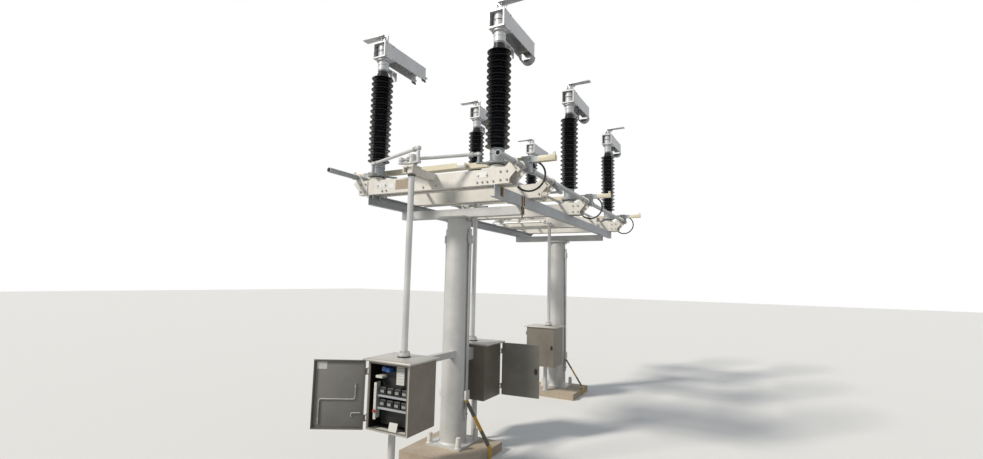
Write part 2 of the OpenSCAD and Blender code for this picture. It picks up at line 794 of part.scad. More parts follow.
module main_drive_pipe() {
    color(paint) translate([main_x, main_y, 0]) {
        drive_pipe(crank_z + crank_t, main_pipe_d);
        translate([0, 0, crank_z]) {
            cylinder(h = crank_t, d = 90);
            lever(left_crank, crank_t, 26);
            lever(right_crank, crank_t, 26);
        }
        translate([left_crank.x, left_crank.y, crank_z]) {
            cylinder(h = left_rod_z - crank_z - rod_eye_h / 2 - seat, d = rod_post_d);
            cylinder(h = left_rod_z - crank_z + rod_eye_h / 2 + 6, d = lever_pin_d);
        }
        translate([right_crank.x, right_crank.y, crank_z]) {
            cylinder(h = right_rod_z - crank_z - rod_eye_h / 2 - seat, d = rod_post_d);
        }
    }
}

// A rod between two upright pins, with an eye at each end. The far eye may stand higher or
// lower; it is closed by the head of its bolt.
module link_rod(from, to, z, rise, d) {
    run = to - from;
    length = norm(run);
    pitch_angle = atan2(rise, length);
    inside_eye = rod_eye_d / 2 - 4;
    translate([from.x, from.y, z]) rotate(atan2(run.y, run.x)) difference() {
        union() {
            cylinder(h = rod_eye_h, d = rod_eye_d, center = true);
            translate([length, 0, rise]) cylinder(h = rod_eye_h, d = rod_eye_d, center = true);
            translate([length, 0, rise]) cylinder(h = rod_eye_h / 2 + 8, d = rod_post_d);
            rotate([0, 90 - pitch_angle, 0]) translate([0, 0, inside_eye])
                cylinder(h = norm([length, rise]) - 2 * inside_eye, d = d);
        }
        cylinder(h = 3 * rod_eye_h, d = lever_pin_d + 2 * fit, center = true);
    }
}

module left_drive_rod() {
    color(paint) link_rod(main_at + left_crank, left_axis + left_lever, left_rod_z, 0, rod_d);
}

module right_drive_rod() {
    color(paint) link_rod(right_axis + right_lever, main_at + right_crank,
                          right_rod_z + right_rod_rise, -right_rod_rise, rod_d);
}

// The rod along a row that turns all its insulators together
module interphase_rod(side) {
    reach = interphase_r * sin(interphase_angle);
    inset = interphase_r * cos(interphase_angle);
    translate([side * (insulator_x - inset), pole_y(1) + reach, interphase_z]) difference() {
        union() {
            rotate([-90, 0, 0]) cylinder(h = 2 * pole_spacing, d = interphase_d);
            for (n = [0:2]) translate([0, n * pole_spacing, 0])
                cylinder(h = interphase_d, d = interphase_eye_d, center = true);
        }
        for (n = [0:2]) translate([0, n * pole_spacing, 0])
            cylinder(h = 2 * interphase_d, d = interphase_pin_d + 2 * fit, center = true);
    }
}

module left_interphase_rod() {
    color(paint) interphase_rod(-1);
}

module right_interphase_rod() {
    color(paint) interphase_rod(1);
}

// The right earthing shaft with its blade clamps, tail arms and drive lever
module earth_shaft(near_end, blade_y, lever_y) {
    far_end = pole_y(3) + lead_run[2] + 30;
    translate([shaft_x, near_end, shaft_z]) rotate([-90, 0, 0]) difference() {
        cylinder(h = far_end - near_end, d = earth_shaft_d);
        translate([0, 0, -1]) cylinder(h = far_end - near_end + 2, d = earth_shaft_d - 10);
    }
    for (n = [1:3]) translate([shaft_x, pole_y(n) + blade_y, shaft_z]) {
        difference() {
            translate([-clamp_half, -30, -40]) cube([2 * clamp_half, 60, 48 + blade_rise + blade_w / 2]);
            rotate([90, 0, 0]) cylinder(h = 70, d = earth_shaft_d - 1, center = true);
        }
        translate([clamp_half, -blade_w / 2, blade_rise - blade_w / 2]) cube([tail_l, blade_w, blade_w]);
    }
    translate([shaft_x, lever_y, shaft_z]) rotate([90, 0, 0])
        linear_extrude(earth_lever_t, center = true) difference() {
            union() {
                circle(shaft_r + 12);
                rotate(-90 + earth_swing / 2) {
                    translate([0, -20]) square([earth_lever_r, 40]);
                    translate([earth_lever_r, 0]) circle(22);
                }
            }
            circle(shaft_r - 0.5);
        }
}

module right_earth_shaft() {
    color(steel) earth_shaft(pole_y(1) - 378, right_blade_y, right_earth_pipe_at.y - earth_eye_beside);
}

module left_earth_shaft() {
    color(steel) mirror([1, 0, 0])
        earth_shaft(pole_y(1) - 467, left_blade_y, left_earth_pipe_at.y + earth_eye_beside);
}

module earth_blades(blade_y) {
    for (n = [1:3])
        translate([shaft_x - clamp_half, pole_y(n) + blade_y - blade_w / 2, blade_z - blade_w / 2])
            mirror([1, 0, 0]) cube([blade_reach - clamp_half, blade_w, blade_w]);
}

module right_earth_blades() {
    color(cream) earth_blades(right_blade_y);
}

module left_earth_blades() {
    color(cream) mirror([1, 0, 0]) earth_blades(left_blade_y);
}

// An earthing drive pipe with the crank that pulls the rod along X
module earth_pipe(at) {
    top = earth_rod_z - 20 - seat;
    translate([at.x, at.y, 0]) {
        drive_pipe(top, earth_pipe_d);
        translate([0, 0, top - earth_crank_t]) {
            cylinder(h = earth_crank_t, d = 70);
            lever([earth_crank_r, 0], earth_crank_t, 22);
        }
        translate([earth_crank_r, 0, top - earth_crank_t]) cylinder(h = 58, d = 18);
    }
}

module right_earth_pipe() {
    color(paint) earth_pipe(right_earth_pipe_at);
}

module left_earth_pipe() {
    color(paint) mirror([1, 0, 0]) earth_pipe([-left_earth_pipe_at.x, left_earth_pipe_at.y]);
}

// The rod from an earthing crank to the shaft's lever, beside which its flat eye lies
module earth_rod(at, side) {
    near = at.x + earth_crank_r;
    far = shaft_x + earth_lever_r * sin(earth_swing / 2);
    translate([0, at.y, earth_rod_z]) difference() {
        union() {
            translate([near, 0, 0]) cylinder(h = 40, d = 40, center = true);
            translate([near, 0, 0]) rotate([0, 90, 0]) cylinder(h = far - near, d = earth_rod_d);
            translate([far, 0, 0]) rotate([90, 0, 0]) cylinder(h = earth_eye_t, d = earth_eye_d, center = true);
            translate([far, 0, 0]) rotate([-90 * side, 0, 0]) cylinder(h = earth_eye_t / 2 + 8, d = 28);
        }
        translate([near, 0, 0]) cylinder(h = 50, d = 18 + 2 * fit, center = true);
    }
}

module right_earth_rod() {
    color(paint) earth_rod(right_earth_pipe_at, 1);
}

module left_earth_rod() {
    color(paint) mirror([1, 0, 0]) earth_rod([-left_earth_pipe_at.x, left_earth_pipe_at.y], -1);
}

footings();
columns();
head_beams();
cross_beams();
pole_base_1();
pole_base_2();
pole_base_3();
drive_beams();
bearing_housings();
shaft_brackets();
drive_bracket();
cabinet_1();
cabinet_2();
cabinet_3();
cabinet_supports();
mechanisms();
terminals();
earth_strips();
flexible_leads();
lead_clamps();
turntable_1_left();
turntable_1_right();
turntable_2_left();
turntable_2_right();
turntable_3_left();
turntable_3_right();
insulator_1_left();
insulator_1_right();
insulator_2_left();
insulator_2_right();
insulator_3_left();
insulator_3_right();
arm_1_left();
arm_1_right();
arm_2_left();
arm_2_right();
arm_3_left();
arm_3_right();
main_drive_pipe();
left_drive_rod();
right_drive_rod();
left_interphase_rod();
right_interphase_rod();
left_earth_shaft();
right_earth_shaft();
left_earth_blades();
right_earth_blades();
left_earth_pipe();
right_earth_pipe();
left_earth_rod();
right_earth_rod();
door_1();
door_2();
door_3();
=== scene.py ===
import bpy
import json
from math import cos, pi, radians, sin
from mathutils import Matrix, Vector


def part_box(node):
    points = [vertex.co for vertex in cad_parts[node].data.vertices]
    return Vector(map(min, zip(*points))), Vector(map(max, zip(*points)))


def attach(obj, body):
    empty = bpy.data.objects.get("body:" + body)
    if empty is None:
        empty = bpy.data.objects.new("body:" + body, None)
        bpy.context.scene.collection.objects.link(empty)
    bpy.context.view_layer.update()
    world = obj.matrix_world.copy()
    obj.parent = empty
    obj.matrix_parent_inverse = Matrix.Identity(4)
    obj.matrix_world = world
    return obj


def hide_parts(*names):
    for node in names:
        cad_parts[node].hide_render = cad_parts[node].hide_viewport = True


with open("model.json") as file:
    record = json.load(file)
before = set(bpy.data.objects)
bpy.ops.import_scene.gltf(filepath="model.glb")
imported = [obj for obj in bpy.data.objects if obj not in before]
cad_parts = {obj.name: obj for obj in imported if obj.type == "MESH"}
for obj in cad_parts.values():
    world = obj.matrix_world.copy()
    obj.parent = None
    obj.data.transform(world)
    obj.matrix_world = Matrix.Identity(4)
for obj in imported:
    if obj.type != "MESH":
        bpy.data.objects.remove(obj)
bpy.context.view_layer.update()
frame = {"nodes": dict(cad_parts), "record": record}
nodes = frame["nodes"]

# The viewing place: a person stands to the right of the near end and looks along the pole row.
# The lens is a telephone's wide one, held almost level.
eye = Vector((2.5566, -4.1149, 1.6951))
yaw, pitch, roll = radians(28.057), radians(6.151), radians(1.316)
forward = Vector((-sin(yaw) * cos(pitch), cos(yaw) * cos(pitch), sin(pitch)))
level_right = Vector((cos(yaw), sin(yaw), 0))
level_up = level_right.cross(forward)
right = level_right * cos(roll) + level_up * sin(roll)
up = level_up * cos(roll) - level_right * sin(roll)
lens = bpy.data.cameras.new("photograph_view")
lens.sensor_width = 36
lens.lens = 17.128
lens.shift_x = 0.0015
lens.shift_y = -0.0005
lens.clip_end = 200
camera = bpy.data.objects.new("photograph_view", lens)
camera.matrix_world = Matrix((
    (right.x, up.x, -forward.x, eye.x),
    (right.y, up.y, -forward.y, eye.y),
    (right.z, up.z, -forward.z, eye.z),
    (0, 0, 0, 1)))
bpy.context.collection.objects.link(camera)
bpy.context.scene.camera = camera
bpy.context.scene.view_settings.view_transform = "Standard"

# The studio: a wide pale floor that keeps the shadow, and a surround that is seen as white and fills
# the shadows in. A lamp like the sun stands to the left of the viewer, where the sun stood.
def new_paint(name):
    """A new material with its node tree and its shader."""
    material = bpy.data.materials.new(name)
    material.use_nodes = True
    return material, material.node_tree, material.node_tree.nodes["Principled BSDF"]


def wire(tree, node, sockets):
    """Gives each of these sockets a value, or the output of another node."""
    for socket, value in sockets.items():
        if isinstance(value, bpy.types.NodeSocket):
            tree.links.new(value, node.inputs[socket])
        else:
            node.inputs[socket].default_value = value
    return node


def add(tree, kind, sockets, **settings):
    """A new shader node with these settings and sockets."""
    node = tree.nodes.new("ShaderNode" + kind)
    for name, value in settings.items():
        setattr(node, name, value)
    return wire(tree, node, sockets)


def seen_directly(tree):
    """One for the rays that show the background itself: those of the camera, glass and mirrors."""
    ray = tree.nodes.new("ShaderNodeLightPath").outputs
    last = ray["Is Camera Ray"]
    for kind in ("Is Transmission Ray", "Is Glossy Ray"):
        last = add(tree, "Math", {0: last, 1: ray[kind]}, operation="MAXIMUM").outputs["Value"]
    return last


bpy.ops.object.select_all(action="DESELECT")
bpy.ops.mesh.primitive_plane_add(size=90, location=(0, 1.5, 0))
floor = bpy.context.object
floor.name = "floor"
bpy.ops.object.transform_apply(location=True, rotation=True, scale=True)
floor_paint, tree, shader = new_paint("floor_paint")
floor_tone = add(tree, "Mix", {"Factor": seen_directly(tree), "A": (0.34, 0.33, 0.31, 1),
                               "B": (0.78, 0.775, 0.76, 1)}, data_type="RGBA")
wire(tree, shader, {"Base Color": floor_tone.outputs["Result"], "Roughness": 0.9})
floor.data.materials.append(floor_paint)

surround = bpy.data.worlds.new("surround")
bpy.context.scene.world = surround
surround.use_nodes = True
tree = surround.node_tree
tree.nodes.clear()
fill = add(tree, "Background", {"Color": (0.86, 0.92, 1.0, 1), "Strength": 0.42})
white = add(tree, "Background", {"Color": (1, 1, 1, 1), "Strength": 1.0})
choice = add(tree, "MixShader", {"Fac": seen_directly(tree), 1: fill.outputs["Background"],
                                 2: white.outputs["Background"]})
add(tree, "OutputWorld", {"Surface": choice.outputs["Shader"]})

sun_from = Vector((-6.5, -9.0, 9.0))
sun = bpy.data.lights.new("sun_side", "SUN")
sun.angle = radians(9)
sun.energy = 3.0
sun.color = (1.0, 0.95, 0.86)
sun_object = bpy.data.objects.new("sun_side", sun)
sun_object.rotation_euler = (-sun_from).to_track_quat("-Z", "Y").to_euler()
bpy.context.collection.objects.link(sun_object)


# Six flexible leads, stranded copper in a black sheath, bond the earthing shafts to the bases.
# Each leaves a base's side, hangs in one open turn below the shaft and ends on a clamp above it.
def speckled(name, light, dark, grain, rough, bump, metallic=0.0, streak=0.0, spread=0.5):
    """A weathered surface: two tones in clouds, fine grain, and streaks that run down it."""
    material, tree, shader = new_paint(name)
    place = tree.nodes.new("ShaderNodeTexCoord").outputs["Object"]
    clouds = add(tree, "TexNoise", {"Vector": place, "Scale": 2.6, "Detail": 7, "Roughness": 0.62})
    tone = add(tree, "ValToRGB", {"Fac": clouds.outputs["Fac"]})
    tone.color_ramp.elements[0].position = 0.5 - spread / 2
    tone.color_ramp.elements[1].position = 0.5 + spread / 2
    tone.color_ramp.elements[0].color = (*dark, 1)
    tone.color_ramp.elements[1].color = (*light, 1)
    fine = add(tree, "TexNoise", {"Vector": place, "Scale": grain, "Detail": 4})
    grit = add(tree, "Mix", {"Factor": 0.35, "A": tone.outputs["Color"], "B": fine.outputs["Fac"]},
               data_type="RGBA", blend_type="OVERLAY")
    colour = grit.outputs["Result"]
    if streak:
        stretch = add(tree, "Mapping", {"Vector": place, "Scale": (26, 26, 1.1)})
        runs = add(tree, "TexNoise", {"Vector": stretch.outputs["Vector"], "Scale": 1.0, "Detail": 5})
        thinned = add(tree, "ValToRGB", {"Fac": runs.outputs["Fac"]})
        thinned.color_ramp.elements[0].position = 0.55
        thinned.color_ramp.elements[1].position = 0.78
        thinned.color_ramp.elements[1].color = (streak, streak, streak, 1)
        washed = (dark[0] * 0.7, dark[1] * 0.64, dark[2] * 0.55, 1)
        wash = add(tree, "Mix", {"Factor": thinned.outputs["Color"], "A": colour, "B": washed},
                   data_type="RGBA")
        colour = wash.outputs["Result"]
    polish = add(tree, "MapRange", {"Value": clouds.outputs["Fac"], "To Min": rough - 0.09,
                                    "To Max": rough + 0.12})
    relief = add(tree, "Bump", {"Height": fine.outputs["Fac"], "Strength": bump, "Distance": 0.002})
    wire(tree, shader, {"Metallic": metallic, "Base Color": colour, "Roughness": polish.outputs["Result"],
                        "Normal": relief.outputs["Normal"]})
    return material


def finish_with(material, *names):
    """Gives CAD nodes this surface in every slot they have."""
    for name in names:
        for index in range(len(nodes[name].material_slots)):
            nodes[name].material_slots[index].material = material


def hold(piece):
    """Makes this piece the only one that is selected, and the active one."""
    bpy.ops.object.select_all(action="DESELECT")
    piece.select_set(True)
    bpy.context.view_layer.objects.active = piece


def done(piece, name, body, material, sharp_angle=35):
    """Names a finished piece, smooths its round faces, gives it its surface and seats it on its body."""
    hold(piece)
    piece.name = name
    piece.data.name = name
    piece.data.materials.clear()
    piece.data.materials.append(material)
    if piece.type == "MESH":
        bpy.ops.object.shade_smooth_by_angle(angle=radians(sharp_angle))
    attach(piece, body)
    return piece


def line_through(points, radius, fineness):
    """A round line through these points, closed at both ends."""
    line = bpy.data.curves.new("line", "CURVE")
    line.dimensions = "3D"
    line.bevel_depth = radius
    line.bevel_resolution = fineness
    line.use_fill_caps = True
    path = line.splines.new("POLY")
    path.points.add(len(points) - 1)
    for point, place in zip(path.points, points):
        point.co = (*place, 1)
    piece = bpy.data.objects.new("line", line)
    bpy.context.collection.objects.link(piece)
    return piece


insulator_x = 0.685
pole_y = (-0.5, 1.5, 3.5)
both_sides = ((-1, "left"), (1, "right"))
base_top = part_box("pole_base_1")[1][2] - 0.008
shaft_x = insulator_x + 0.2
shaft_z = base_top + 0.048
sheath = speckled("lead_sheath", (0.030, 0.029, 0.030), (0.016, 0.015, 0.016), 160, 0.5, 0.25, spread=0.4)
lead_radius = 0.009
lead_ring = 0.145
lead_drop = 0.055
start_angle, turn_angle, ring_steps = 200, 250, 22
side_y, ring_y, ring_shift = 0.090, 0.240, 0.082
stations = [(start_angle, side_y), (start_angle, ring_y - 0.075)]
stations += [(start_angle + turn_angle * i / ring_steps, ring_y + ring_shift * i / ring_steps)
             for i in range(ring_steps + 1)]
for pole, row_y in enumerate(pole_y, 1):
    for side, side_name in both_sides:
        route = [(side * (shaft_x + lead_ring * cos(radians(a))), row_y + y,
                  shaft_z - lead_drop + lead_ring * sin(radians(a))) for a, y in stations]
        lead = line_through(route, lead_radius, 4)
        done(lead, f"flexible_lead_{pole}_{side_name}", "frame", sheath)
        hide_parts("flexible_leads")


# The two footings are cast concrete blocks, sandy in colour and clouded with stains. They stand
# proud of the ground and hold the anchor bolts.
concrete = speckled("cast_concrete", (0.52, 0.44, 0.34), (0.36, 0.30, 0.23), 90, 0.9, 0.7, spread=0.4)
finish_with(concrete, "footings")


# The two columns are tapered steel tubes, hot-dip galvanised, with a square foot and a head plate.
# White plastic caps cover the anchor bolts. Rain has left faint runs down the zinc.
def turned(outline, at=(0, 0, 0), axis=(0, 0, 1), sides=32):
    """A solid of round (or, with 6 sides, hexagonal) section: outline lists its radii and heights."""
    bpy.ops.object.select_all(action="DESELECT")
    radius, height = outline[0]
    bpy.ops.mesh.primitive_circle_add(vertices=sides, radius=radius, fill_type="NGON", location=(0, 0, 0))
    piece = bpy.context.object
    bpy.ops.object.mode_set(mode="EDIT")
    bpy.ops.transform.translate(value=(0, 0, height))
    for next_radius, next_height in outline[1:]:
        bpy.ops.mesh.extrude_region_move(TRANSFORM_OT_translate={"value": (0, 0, next_height - height)})
        bpy.ops.transform.resize(value=(next_radius / radius, next_radius / radius, 1),
                                 center_override=(0, 0, next_height))
        radius, height = next_radius, next_height
    bpy.ops.mesh.select_all(action="SELECT")
    bpy.ops.mesh.normals_make_consistent(inside=False)
    bpy.ops.object.mode_set(mode="OBJECT")
    turn = Vector(axis).to_track_quat("Z", "Y").to_matrix().to_4x4()
    piece.data.transform(Matrix.Translation(at) @ turn)
    return piece


def joined(pieces):
    """Several meshes as one piece."""
    bpy.ops.object.select_all(action="DESELECT")
    for piece in pieces:
        piece.select_set(True)
    bpy.context.view_layer.objects.active = pieces[0]
    if len(pieces) > 1:
        bpy.ops.object.join()
    return pieces[0]


def copies(pattern, places):
    """Copies of a pattern modelled along +Z at the origin, one per (point, axis), as one piece."""
    made = []
    for at, axis in places:
        mesh = pattern.data.copy()
        mesh.transform(Matrix.Translation(at) @ Vector(axis).to_track_quat("Z", "Y").to_matrix().to_4x4())
        copy = bpy.data.objects.new("copy", mesh)
        bpy.context.collection.objects.link(copy)
        made.append(copy)
    return joined(made)


def drop(*patterns):
    """Takes a pattern away once it has been copied."""
    for pattern in patterns:
        bpy.data.objects.remove(pattern, do_unlink=True)


zinc_column = speckled("column_zinc", (0.60, 0.60, 0.59), (0.50, 0.50, 0.49), 240, 0.5, 0.12, 0.3, 0.16, 0.3)
finish_with(zinc_column, "columns", "cabinet_supports")
column_y = (0.0, 3.0)
plate_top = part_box("footings")[1][2] + 0.016
anchor_out = 0.163
up_way, down_way = (0, 0, 1), (0, 0, -1)
cap_white = speckled("anchor_cap_plastic", (0.74, 0.73, 0.69), (0.62, 0.60, 0.55), 180, 0.45, 0.1, spread=0.4)
cap = turned([(0.031, 0), (0.031, 0.005), (0.0262, 0.009), (0.0252, 0.086), (0.021, 0.097), (0.009, 0.102)])
corners = [(x, y) for x in (-1, 1) for y in (-1, 1)]
done(copies(cap, [((x * anchor_out, where + y * anchor_out, plate_top), up_way)
                  for where in column_y for x, y in corners]),
     "anchor_caps", "frame", cap_white)
weld = turned([(0.148, 0), (0.1425, 0.006), (0.1345, 0.012), (0.1335, 0.013)], sides=72)
done(copies(weld, [((0, where, plate_top), up_way) for where in column_y]),
     "column_foot_welds", "frame", zinc_column)
drop(cap, weld)

# Every joint of the steelwork is bolted: zinc hexagon bolts on washers, the nuts on the far side
# of the flanges. One bolt is modelled and copied to each hole.
bolt_zinc = speckled("bolt_zinc", (0.50, 0.50, 0.48), (0.34, 0.33, 0.30), 300, 0.42, 0.1, 0.6, spread=0.4)


def bolt(across, stud=0.0):
    """A hexagon head on a washer, with or without the end of its stud."""
    half = across / 2 / cos(pi / 6)
    washer = turned([(across * 0.60, -0.0005), (across * 0.60, across * 0.10)], sides=18)
    hexagon = turned([(half, across * 0.10), (half, across * 0.62), (half * 0.88, across * 0.72)], sides=6)
    parts = [washer, hexagon]
    if stud:
        parts.append(turned([(across * 0.31, across * 0.70), (across * 0.31, across * 0.72 + stud),
                             (across * 0.25, across * 0.78 + stud)], sides=12))
    return joined(parts)


head_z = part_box("head_beams")[0][2]
cross_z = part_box("cross_beams")[0][2]
base_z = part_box("pole_base_1")[0][2]
cross_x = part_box("cross_beams")[1][0]
hole_x = cross_x - 0.024
head_plate_t, flange_t = 0.016, 0.007
head_holes = [(x * 0.134, where + y * 0.030) for where in column_y for x, y in corners]
beam_holes = [(x * hole_x, where + y * 0.032) for where in column_y for x, y in corners]
pole_holes = [(x * hole_x, row + y * 0.054) for row in pole_y for x, y in corners]
nut = bolt(0.024, stud=0.012)
head = bolt(0.024)
places = [((*hole, head_z - head_plate_t), down_way) for hole in head_holes]
places += [((*hole, cross_z - flange_t), down_way) for hole in beam_holes]
places += [((*hole, base_z - flange_t), down_way) for hole in pole_holes]
done(copies(nut, places), "beam_nuts", "frame", bolt_zinc)
places = [((*hole, cross_z + flange_t), up_way) for hole in beam_holes]
places += [((*hole, base_z + flange_t), up_way) for hole in pole_holes]
done(copies(head, places), "beam_bolts", "frame", bolt_zinc)
drop(nut, head)

# Beams: rolled channels, galvanised and bolted. The long cross beams' zinc is set darker than the
# rest as painted shade: its grey stands for their shaded side. The pole bases are painted nearly
# white and face the sun.
# Painted shade: the cross beams' zinc is darker than the columns' and head beams' to stand for the shade on
# them.
beam_zinc_with_painted_shade = speckled("beam_zinc", (0.44, 0.46, 0.48), (0.33, 0.35, 0.37), 160, 0.52, 0.15, 0.4, 0.22, 0.35)
finish_with(beam_zinc_with_painted_shade, "cross_beams")
zinc_bright = speckled("head_beam_zinc", (0.60, 0.60, 0.59), (0.46, 0.47, 0.47), 160, 0.48, 0.15, 0.35, 0.22,
                       0.35)
finish_with(zinc_bright, "head_beams", "earth_strips", "lead_clamps")
base_white = speckled("pole_base_paint", (0.80, 0.775, 0.725), (0.70, 0.675, 0.62), 200, 0.42, 0.08, 0.08,
                      0.25, 0.3)
finish_with(base_white, "pole_base_1", "pole_base_2", "pole_base_3", "drive_beams", "shaft_brackets",
            "drive_bracket")
base_front = 0.082
gusset_front = base_front + 0.008
edge_bolts = (-0.551, -0.500, -0.053, 0.095, 0.532, 0.583, 0.633, 0.692)
end_x, end_z = (0.765, 0.826), (0.034, 0.108)
drive_beam_ends = ((end_x[1], 0.234), (-end_x[1], 2.766))
places = [((x, pole_y[0] - base_front, base_z + 0.030), (0, -1, 0)) for x in edge_bolts]
places += [((x * end, row + y * gusset_front, base_z + z), (0, y, 0))
           for row in pole_y for x, y in corners for end in end_x for z in end_z]
places += [((x, where + y * gusset_front, base_z + z), (0, y, 0))
           for x, where in drive_beam_ends for y in (-1, 1) for z in end_z]
small = bolt(0.017)
done(copies(small, places), "base_bolts", "frame", bolt_zinc)


# Bare aluminium plates are riveted to the front of the near base, and a patch of brown primer
# shows where its coat was mended. Ochre ties hang from the cross beam.
def block(corner, opposite, edge=0.0, steps=2):
    """A block between two opposite corners, its edges rounded over."""
    bpy.ops.object.select_all(action="DESELECT")
    middle = [(a + b) / 2 for a, b in zip(corner, opposite)]
    size = [abs(b - a) for a, b in zip(corner, opposite)]
    bpy.ops.mesh.primitive_cube_add(size=1, location=middle, scale=size)
    piece = bpy.context.object
    bpy.ops.object.transform_apply(location=True, rotation=True, scale=True)
    if edge:
        bevel = piece.modifiers.new("edges", "BEVEL")
        bevel.width = edge
        bevel.segments = steps
        bpy.ops.object.modifier_apply(modifier="edges")
    return piece


plate_metal = speckled("bare_plate", (0.80, 0.80, 0.78), (0.70, 0.70, 0.68), 400, 0.35, 0.04, 0.3, spread=0.3)
primer = speckled("mended_primer", (0.46, 0.38, 0.30), (0.36, 0.29, 0.22), 120, 0.75, 0.3, spread=0.5)
front = pole_y[0] - base_front
plates = [block((x0, front - 0.0022, z0), (x1, front, z1), 0.0008, 1)
          for x0, x1, z0, z1 in ((-0.618, -0.505, 2.574, 2.628), (-0.470, -0.402, 2.562, 2.608),
                                 (0.531, 0.636, 2.582, 2.632))]
plates.append(copies(small, [((x, front - 0.002, z), (0, -1, 0)) for x, z in
                             ((-0.609, 2.601), (-0.514, 2.601), (0.540, 2.607), (0.627, 2.607))]))
done(joined(plates), "bare_plates", "frame", plate_metal)
patch = block((-0.385, front - 0.0008, 2.545), (-0.232, front + 0.0002, 2.640), 0.0003, 1)
done(patch, "primer_patch", "frame", primer)
tie_ochre = speckled("tie_ochre", (0.21, 0.125, 0.045), (0.13, 0.075, 0.028), 150, 0.8, 0.4, spread=0.5)
ties = [block((cross_x - 0.001, y, low), (cross_x + 0.003, y + wide, high), 0.001, 2)
        for y, low, high, wide in ((-0.482, 2.430, 2.512, 0.055), (-0.02, 2.290, 2.510, 0.022),
                                   (0.03, 2.420, 2.512, 0.022))]
done(joined(ties), "beam_ties", "frame", tie_ochre)


# Bearing housings: turned steel hubs on a round flange that is bolted to the deck by six bolts.
# Each wears a felt ring under the lever plate.
def circle(radius, count, start=0.0):
    """Points spaced evenly round a circle, as (x, y)."""
    turns = [start + k * 2 * pi / count for k in range(count)]
    return [(radius * cos(turn), radius * sin(turn)) for turn in turns]


finish_with(base_white, "bearing_housings")
deck_top = base_top + 0.008
flange_top = deck_top + 0.0125
flange_circle = 0.0720
ring_low = deck_top + 0.034
hubs = [(x * insulator_x, row) for row in pole_y for x in (-1, 1)]
flange = turned([(0.079, 0), (0.079, 0.011), (0.077, 0.013), (0.0655, 0.0135)], sides=48)
done(copies(flange, [((x, y, deck_top), up_way) for x, y in hubs]), "bearing_flanges", "frame",
     base_white)
ring = turned([(0.0652, 0), (0.0662, 0.002), (0.0662, 0.008), (0.0652, 0.010)], sides=48)
felt = speckled("felt_black", (0.030, 0.029, 0.027), (0.018, 0.017, 0.016), 300, 0.9, 0.4, spread=0.4)
done(copies(ring, [((x, y, ring_low), up_way) for x, y in hubs]), "felt_rings", "frame", felt)
drop(flange, ring)
tiny = bolt(0.010)
places = [((x + a, y + b, flange_top), up_way) for x, y in hubs for a, b in circle(flange_circle, 6)]
done(copies(tiny, places), "flange_bolts", "frame", bolt_zinc)

# Turntables, pipes, cranks and rods: machined or welded parts with a thin zinc coat.
# Six bolts hold each turntable to its lever plate, and a weld and a shoulder ring its collar.
zinc_rods = speckled("rod_zinc", (0.64, 0.64, 0.63), (0.52, 0.52, 0.52), 300, 0.38, 0.06, 0.45, 0.14, 0.3)
finish_with(zinc_rods, "main_drive_pipe", "left_drive_rod", "right_drive_rod", "left_interphase_rod",
            "right_interphase_rod", "left_earth_pipe", "right_earth_pipe", "left_earth_rod",
            "right_earth_rod")
# This grey also colours the hoods under the female arms, where it is painted shade.
fitting_grey_and_hood_shade = speckled("fitting_zinc_and_hood_shade", (0.36, 0.38, 0.40), (0.25, 0.27, 0.28), 200, 0.5, 0.12, 0.45, 0.14,
                        0.35)
lever_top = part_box("left_interphase_rod")[1][2] + 0.0167
collar_top = lever_top + 0.014
lever_circle = 0.0865
posts = [(f"{number}_{side_name}", f"{side_name}_{number}", side * insulator_x, y)
         for number, y in enumerate(pole_y, 1) for side, side_name in both_sides]
for post, body, x, y in posts:
    finish_with(fitting_grey_and_hood_shade, f"turntable_{post}")
    places = [((x + a, y + b, lever_top), up_way) for a, b in circle(lever_circle, 6, 0.5)]
    ring_bolts = copies(small, places)
    foot_weld = turned([(0.0672, 0), (0.0655, 0.004), (0.0652, 0.006)], (x, y, collar_top), sides=40)
    shoulder = turned([(0.0652, 0), (0.0685, 0.002), (0.0685, 0.020), (0.0652, 0.023)],
                      (x, y, collar_top + 0.060), sides=40)
    done(joined([ring_bolts, foot_weld, shoulder]), f"turntable_hardware_{post}", body,
         fitting_grey_and_hood_shade)

# The insulators are glass-fibre rods under moulded silicone rubber, near black with a sheen.
# A crimped metal collar closes the lower end, and another the neck under the head.
rubber = speckled("silicone_black", (0.010, 0.011, 0.016), (0.006, 0.007, 0.010), 40, 0.30, 0.02)
rubber.node_tree.nodes["Principled BSDF"].inputs["Specular IOR Level"].default_value = 0.35
arm_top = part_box("arm_1_left")[1][2]
frame_h = 0.169
frame_z = arm_top - frame_h
cap_z = frame_z - 0.118
for post, body, x, y in posts:
    finish_with(rubber, f"insulator_{post}")
    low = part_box(f"insulator_{post}")[0][2]
    crimp = turned([(0.0665, 0), (0.0680, 0.003), (0.0680, 0.011), (0.0610, 0.016)], (x, y, low), sides=40)
    neck = turned([(0.0525, 0), (0.0545, 0.003), (0.0545, 0.010), (0.0525, 0.013)],
                  (x, y, cap_z - 0.016), sides=40)
    done(joined([crimp, neck]), f"insulator_collars_{post}", body, fitting_grey_and_hood_shade)

